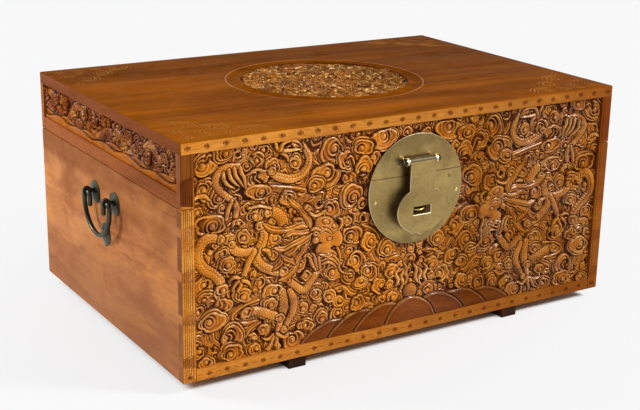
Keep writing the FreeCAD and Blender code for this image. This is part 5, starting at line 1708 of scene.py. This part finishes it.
def carved_top(wood, disc_wood, dark, bead_wood, edge_wood, end_wood):
    """The three planks of the top with the carved disc, its bead and the four corner ornaments."""
    cuts = corner_ornaments(wood)
    panel = Panel((0.0, MIDDLE_DEPTH, TRUNK_TOP), (1, 0, 0), (0, 1, 0))
    block = carved_disc("top_medallion_carving", carve_disc(), panel, DISC_RADIUS, -DISC_POCKET, DISC_SCALE, 0.52)
    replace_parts(dressed(block, "lid", "top_camphor", disc_wood), *TOP_PLANKS)
    bead = turned_ring("top_medallion_bead", BEAD_PROFILE, bead_wood)
    smooth_by_angle(bead.data, 50)
    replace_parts(dressed(bead, "lid", "top_camphor", bead_wood), *TOP_PLANKS)
    circle = [polar(0.0, MIDDLE_DEPTH, DISC_RADIUS, math.tau * side / DISC_SIDES) for side in range(DISC_SIDES)]
    well = prism(circle, TRUNK_TOP - DISC_POCKET, TRUNK_TOP + OVERSHOOT)
    for end in ("front", "middle", "rear"):
        pockets = gathered("pockets", cuts.get(end, []) + [well], wood)
        cutters = [pockets, turned_ring("bead_groove", GROOVE_PROFILE, dark)]
        if end == "front":
            cutters.append(stamp_row("top_flowers", flower(6.2), STAMP_ROW_START, TOP_STAMP_Z, STAMP_COUNT, 2, dark))
        plank = worked(merged_copy("top_plank_" + end, "top_%s_plank_cut" % end, wood), *cutters)
        paint_where(plank, end_wood, at_board_end)
        paint_where(plank, edge_wood, lambda out, x, y, z: y < FRONT_FACE + 0.05 and out.y < -0.9)
        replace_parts(dressed(plank, "lid", "top_camphor"), "top_plank_" + end)


# The trunk's own finishes
carved_camphor = carved_wood("carved camphor wood", (222, 136, 34), (176, 88, 8), (66, 24, 4), (250, 186, 98),
                             (150, 76, 22), (74, 32, 6)).material
strip_camphor = carved_wood("carved side strip", (136, 60, 14), (92, 38, 8), (34, 14, 4), (164, 90, 26),
                            (190, 108, 18), (144, 74, 8), "y", 0.45).material
disc_camphor = disc_wood().material
front_frame_wood = frame_wood("camphor front frame", "x", (240, 164, 70), (186, 104, 28), 2.2).material
stamp_brown = wood("stamped brown marks", "x", (126, 62, 26), (86, 38, 14), rough=(0.4, 0.55), coat=0.0).material
pin_end_wood = frame_wood("base pin ends", "y", (212, 136, 62), (144, 80, 30)).material
lid_pin_wood = frame_wood("lid pin ends", "y", (134, 68, 24), (84, 38, 12)).material
yellow_wood = frame_wood("lid corner", "z", (158, 88, 32), (98, 50, 14)).material
board_end_wood = wood("front board ends", "z", (170, 112, 72), (114, 68, 40), 1.2, 0.8).material
plank_end_wood = wood("top plank ends", "y", (132, 70, 30), (90, 44, 16), 1.2, 0.8).material
bead_wood = wood("worn bead", "x", (190, 126, 66), (130, 76, 34), 0.8, 0.3).material
top_wood = waxed_top().material
strip_frame_wood = wood("lid side frame", "y", (168, 98, 52), (116, 60, 28), coat=0.05).material
side_wood = shaded_sides().material
inside_wood = wood("camphor inside and bottom", "x", (190, 140, 92), (150, 100, 58), rough=(0.5, 0.68),
                   coat=0.0).material
runner_wood = wood("dark runner wood", "y", (58, 36, 22), (30, 18, 12), rough=(0.45, 0.6), coat=0.05).material
aged_brass = plate_brass().material
bright_brass = metal("bright brass", (236, 212, 140), (200, 172, 98), (110, 86, 40), 0.3).material
blackened_bronze = metal("blackened bronze", (92, 92, 76), (50, 50, 42), (22, 22, 20), 0.6).material
barrel_brass = metal("dark barrel brass", (104, 94, 72), (76, 66, 48), (40, 34, 24), 0.6, 0.22).material
# Pale rims and lugs: partly rubbed brass, partly a painted highlight.
rubbed_and_highlit_brass = metal("rubbed and highlit pale brass", (214, 202, 168), (176, 160, 118), (112, 96, 62), 0.3, 0.1).material
dull_brass = metal("dull brass", (168, 140, 84), (120, 98, 56), (62, 48, 28), 0.6).material

FINISH_OF_SLOT = {
    "carved_camphor": front_frame_wood, "lid_camphor": side_wood, "side_camphor": side_wood, "top_camphor": top_wood,
    "floor_camphor": inside_wood, "dark_runner_wood": runner_wood, "aged_brass": aged_brass,
    "bright_brass": bright_brass, "blackened_bronze": blackened_bronze, "dull_brass": dull_brass,
}
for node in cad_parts.values():
    for place in node.material_slots:
        place.material = FINISH_OF_SLOT[place.material.name]

STAMP_ROW = stamp_row_nodes()
front_carvings(carved_camphor)
front_frames(front_frame_wood, stamp_brown, yellow_wood, board_end_wood)
base_sides(side_wood, pin_end_wood, stamp_brown)
side_strips(strip_camphor, strip_frame_wood, lid_pin_wood, stamp_brown)
carved_top(top_wood, disc_camphor, stamp_brown, bead_wood, front_frame_wood, plank_end_wood)
lock_metal(aged_brass, rubbed_and_highlit_brass, barrel_brass, bright_brass, dull_brass)


# Studio
FLOOR_RADIUS = 9.0
TRUNK_HALF_WIDTH = 0.455
TRUNK_HALF_DEPTH = 0.305
FLOOR_SIDES = 64


def seen_white(share):
    """A share that counts only for what the camera, gloss and glass see."""
    path = put(share.tree, "ShaderNodeLightPath")
    gloss_and_glass = path["Is Glossy Ray"].sum("MAXIMUM", path["Is Transmission Ray"])
    return path["Is Camera Ray"].sum("MAXIMUM", gloss_and_glass) * share


def pale_floor():
    """A wide white floor that keeps the trunk's shadow; its own white glow is taken off under the trunk, a painted
    shadow there.
    """
    rim = [polar(0.0, 0.0, FLOOR_RADIUS, side * math.tau / FLOOR_SIDES) for side in range(FLOOR_SIDES)]
    mesh = bpy.data.meshes.new("studio_floor")
    mesh.from_pydata([(x, y, 0.0) for x, y in rim], [], [tuple(range(FLOOR_SIDES))])
    paper = Finish("white studio paper")
    paper.set({"Base Color": (0.86, 0.865, 0.87, 1.0), "Roughness": 0.85, "Specular IOR Level": 0.1})
    paper.bump(paper.noise(60.0, 2.0), 0.05, 0.0005)
    away = paper.place.vector_sum("MULTIPLY", 0, (1.0, 1.25, 1.0)).vector_sum("LENGTH", "Value")
    x, y, _ = paper.place.axes()
    # Painted shadow: no white glow on the floor under the trunk's footprint.
    under = (abs(x) * -1.0 + TRUNK_HALF_WIDTH).sum("MINIMUM", abs(y) * -1.0 + TRUNK_HALF_DEPTH)
    glow_with_painted_shadow = away.ramp(0.3, 1.2, 0.74, 1.0) * under.ramp(0.006, 0.028, 1.0, 0.0)
    shine = put(paper.tree, "ShaderNodeEmission", {"Color": (0.94, 0.94, 0.945, 1.0), "Strength": 1.0})[0]
    mixed = put(paper.tree, "ShaderNodeMixShader", {0: seen_white(glow_with_painted_shadow), 1: paper.shader[0], 2: shine})[0]
    feed(paper.end.inputs["Surface"], mixed)
    mesh.materials.append(paper.material)
    new_object("studio_floor", mesh)


def soft_light(name, place, aim, width, watts):
    """A square studio light turned to a point."""
    lamp = bpy.data.lights.new(name, "AREA")
    lamp.shape = "RECTANGLE"
    lamp.size = lamp.size_y = width
    lamp.energy = watts
    made = new_object(name, lamp)
    made.location = place
    made.rotation_mode = "QUATERNION"
    made.rotation_quaternion = (Vector(aim) - Vector(place)).to_track_quat("-Z", "Y")
    return made


def white_surround(strength):
    """Even light from all round, seen as white by the camera and in gloss."""
    world = bpy.data.worlds.new("studio_surround")
    bpy.context.scene.world = world
    world.use_nodes = True
    tree = world.node_tree
    tree.nodes.clear()
    height = put(tree, "ShaderNodeTexCoord")["Generated"].axes()[2]
    level = seen_white(height.ramp(0.02, 0.16, 1.0, 0.0)).ramp(0.0, 1.0, strength, 1.0, "LINEAR")
    back = put(tree, "ShaderNodeBackground", {"Color": (1.0, 1.0, 1.0, 1.0), "Strength": level})
    put(tree, "ShaderNodeOutputWorld", {"Surface": back[0]})


def photographer(position, forward, up, lens):
    """The camera, with the framing fitted to the photograph."""
    camera = bpy.data.cameras.new("camera")
    camera.sensor_fit, camera.sensor_width, camera.lens = "HORIZONTAL", 36.0, lens
    camera.clip_start, camera.clip_end = 0.05, 60.0
    made = new_object("camera", camera)
    back = -Vector(forward).normalized()
    right = Vector(up).cross(back).normalized()
    top = back.cross(right)
    made.matrix_world = Matrix.Translation(position) @ Matrix((right, top, back)).transposed().to_4x4()
    bpy.context.scene.camera = made


pale_floor()
white_surround(0.28)
soft_light("front_light", (2.0, -2.2, 2.3), (0.0, -0.2, 0.25), 0.7, 125.0)
soft_light("side_light", (-2.2, 1.3, 1.5), (-0.4, 0.0, 0.25), 0.8, 62.0)
photographer((-1.29755, -2.05781, 0.93950), (0.50694, 0.80834, -0.29933), (0.14440, 0.26270, 0.95401), 72.83)
bpy.context.scene.view_settings.view_transform = "Standard"
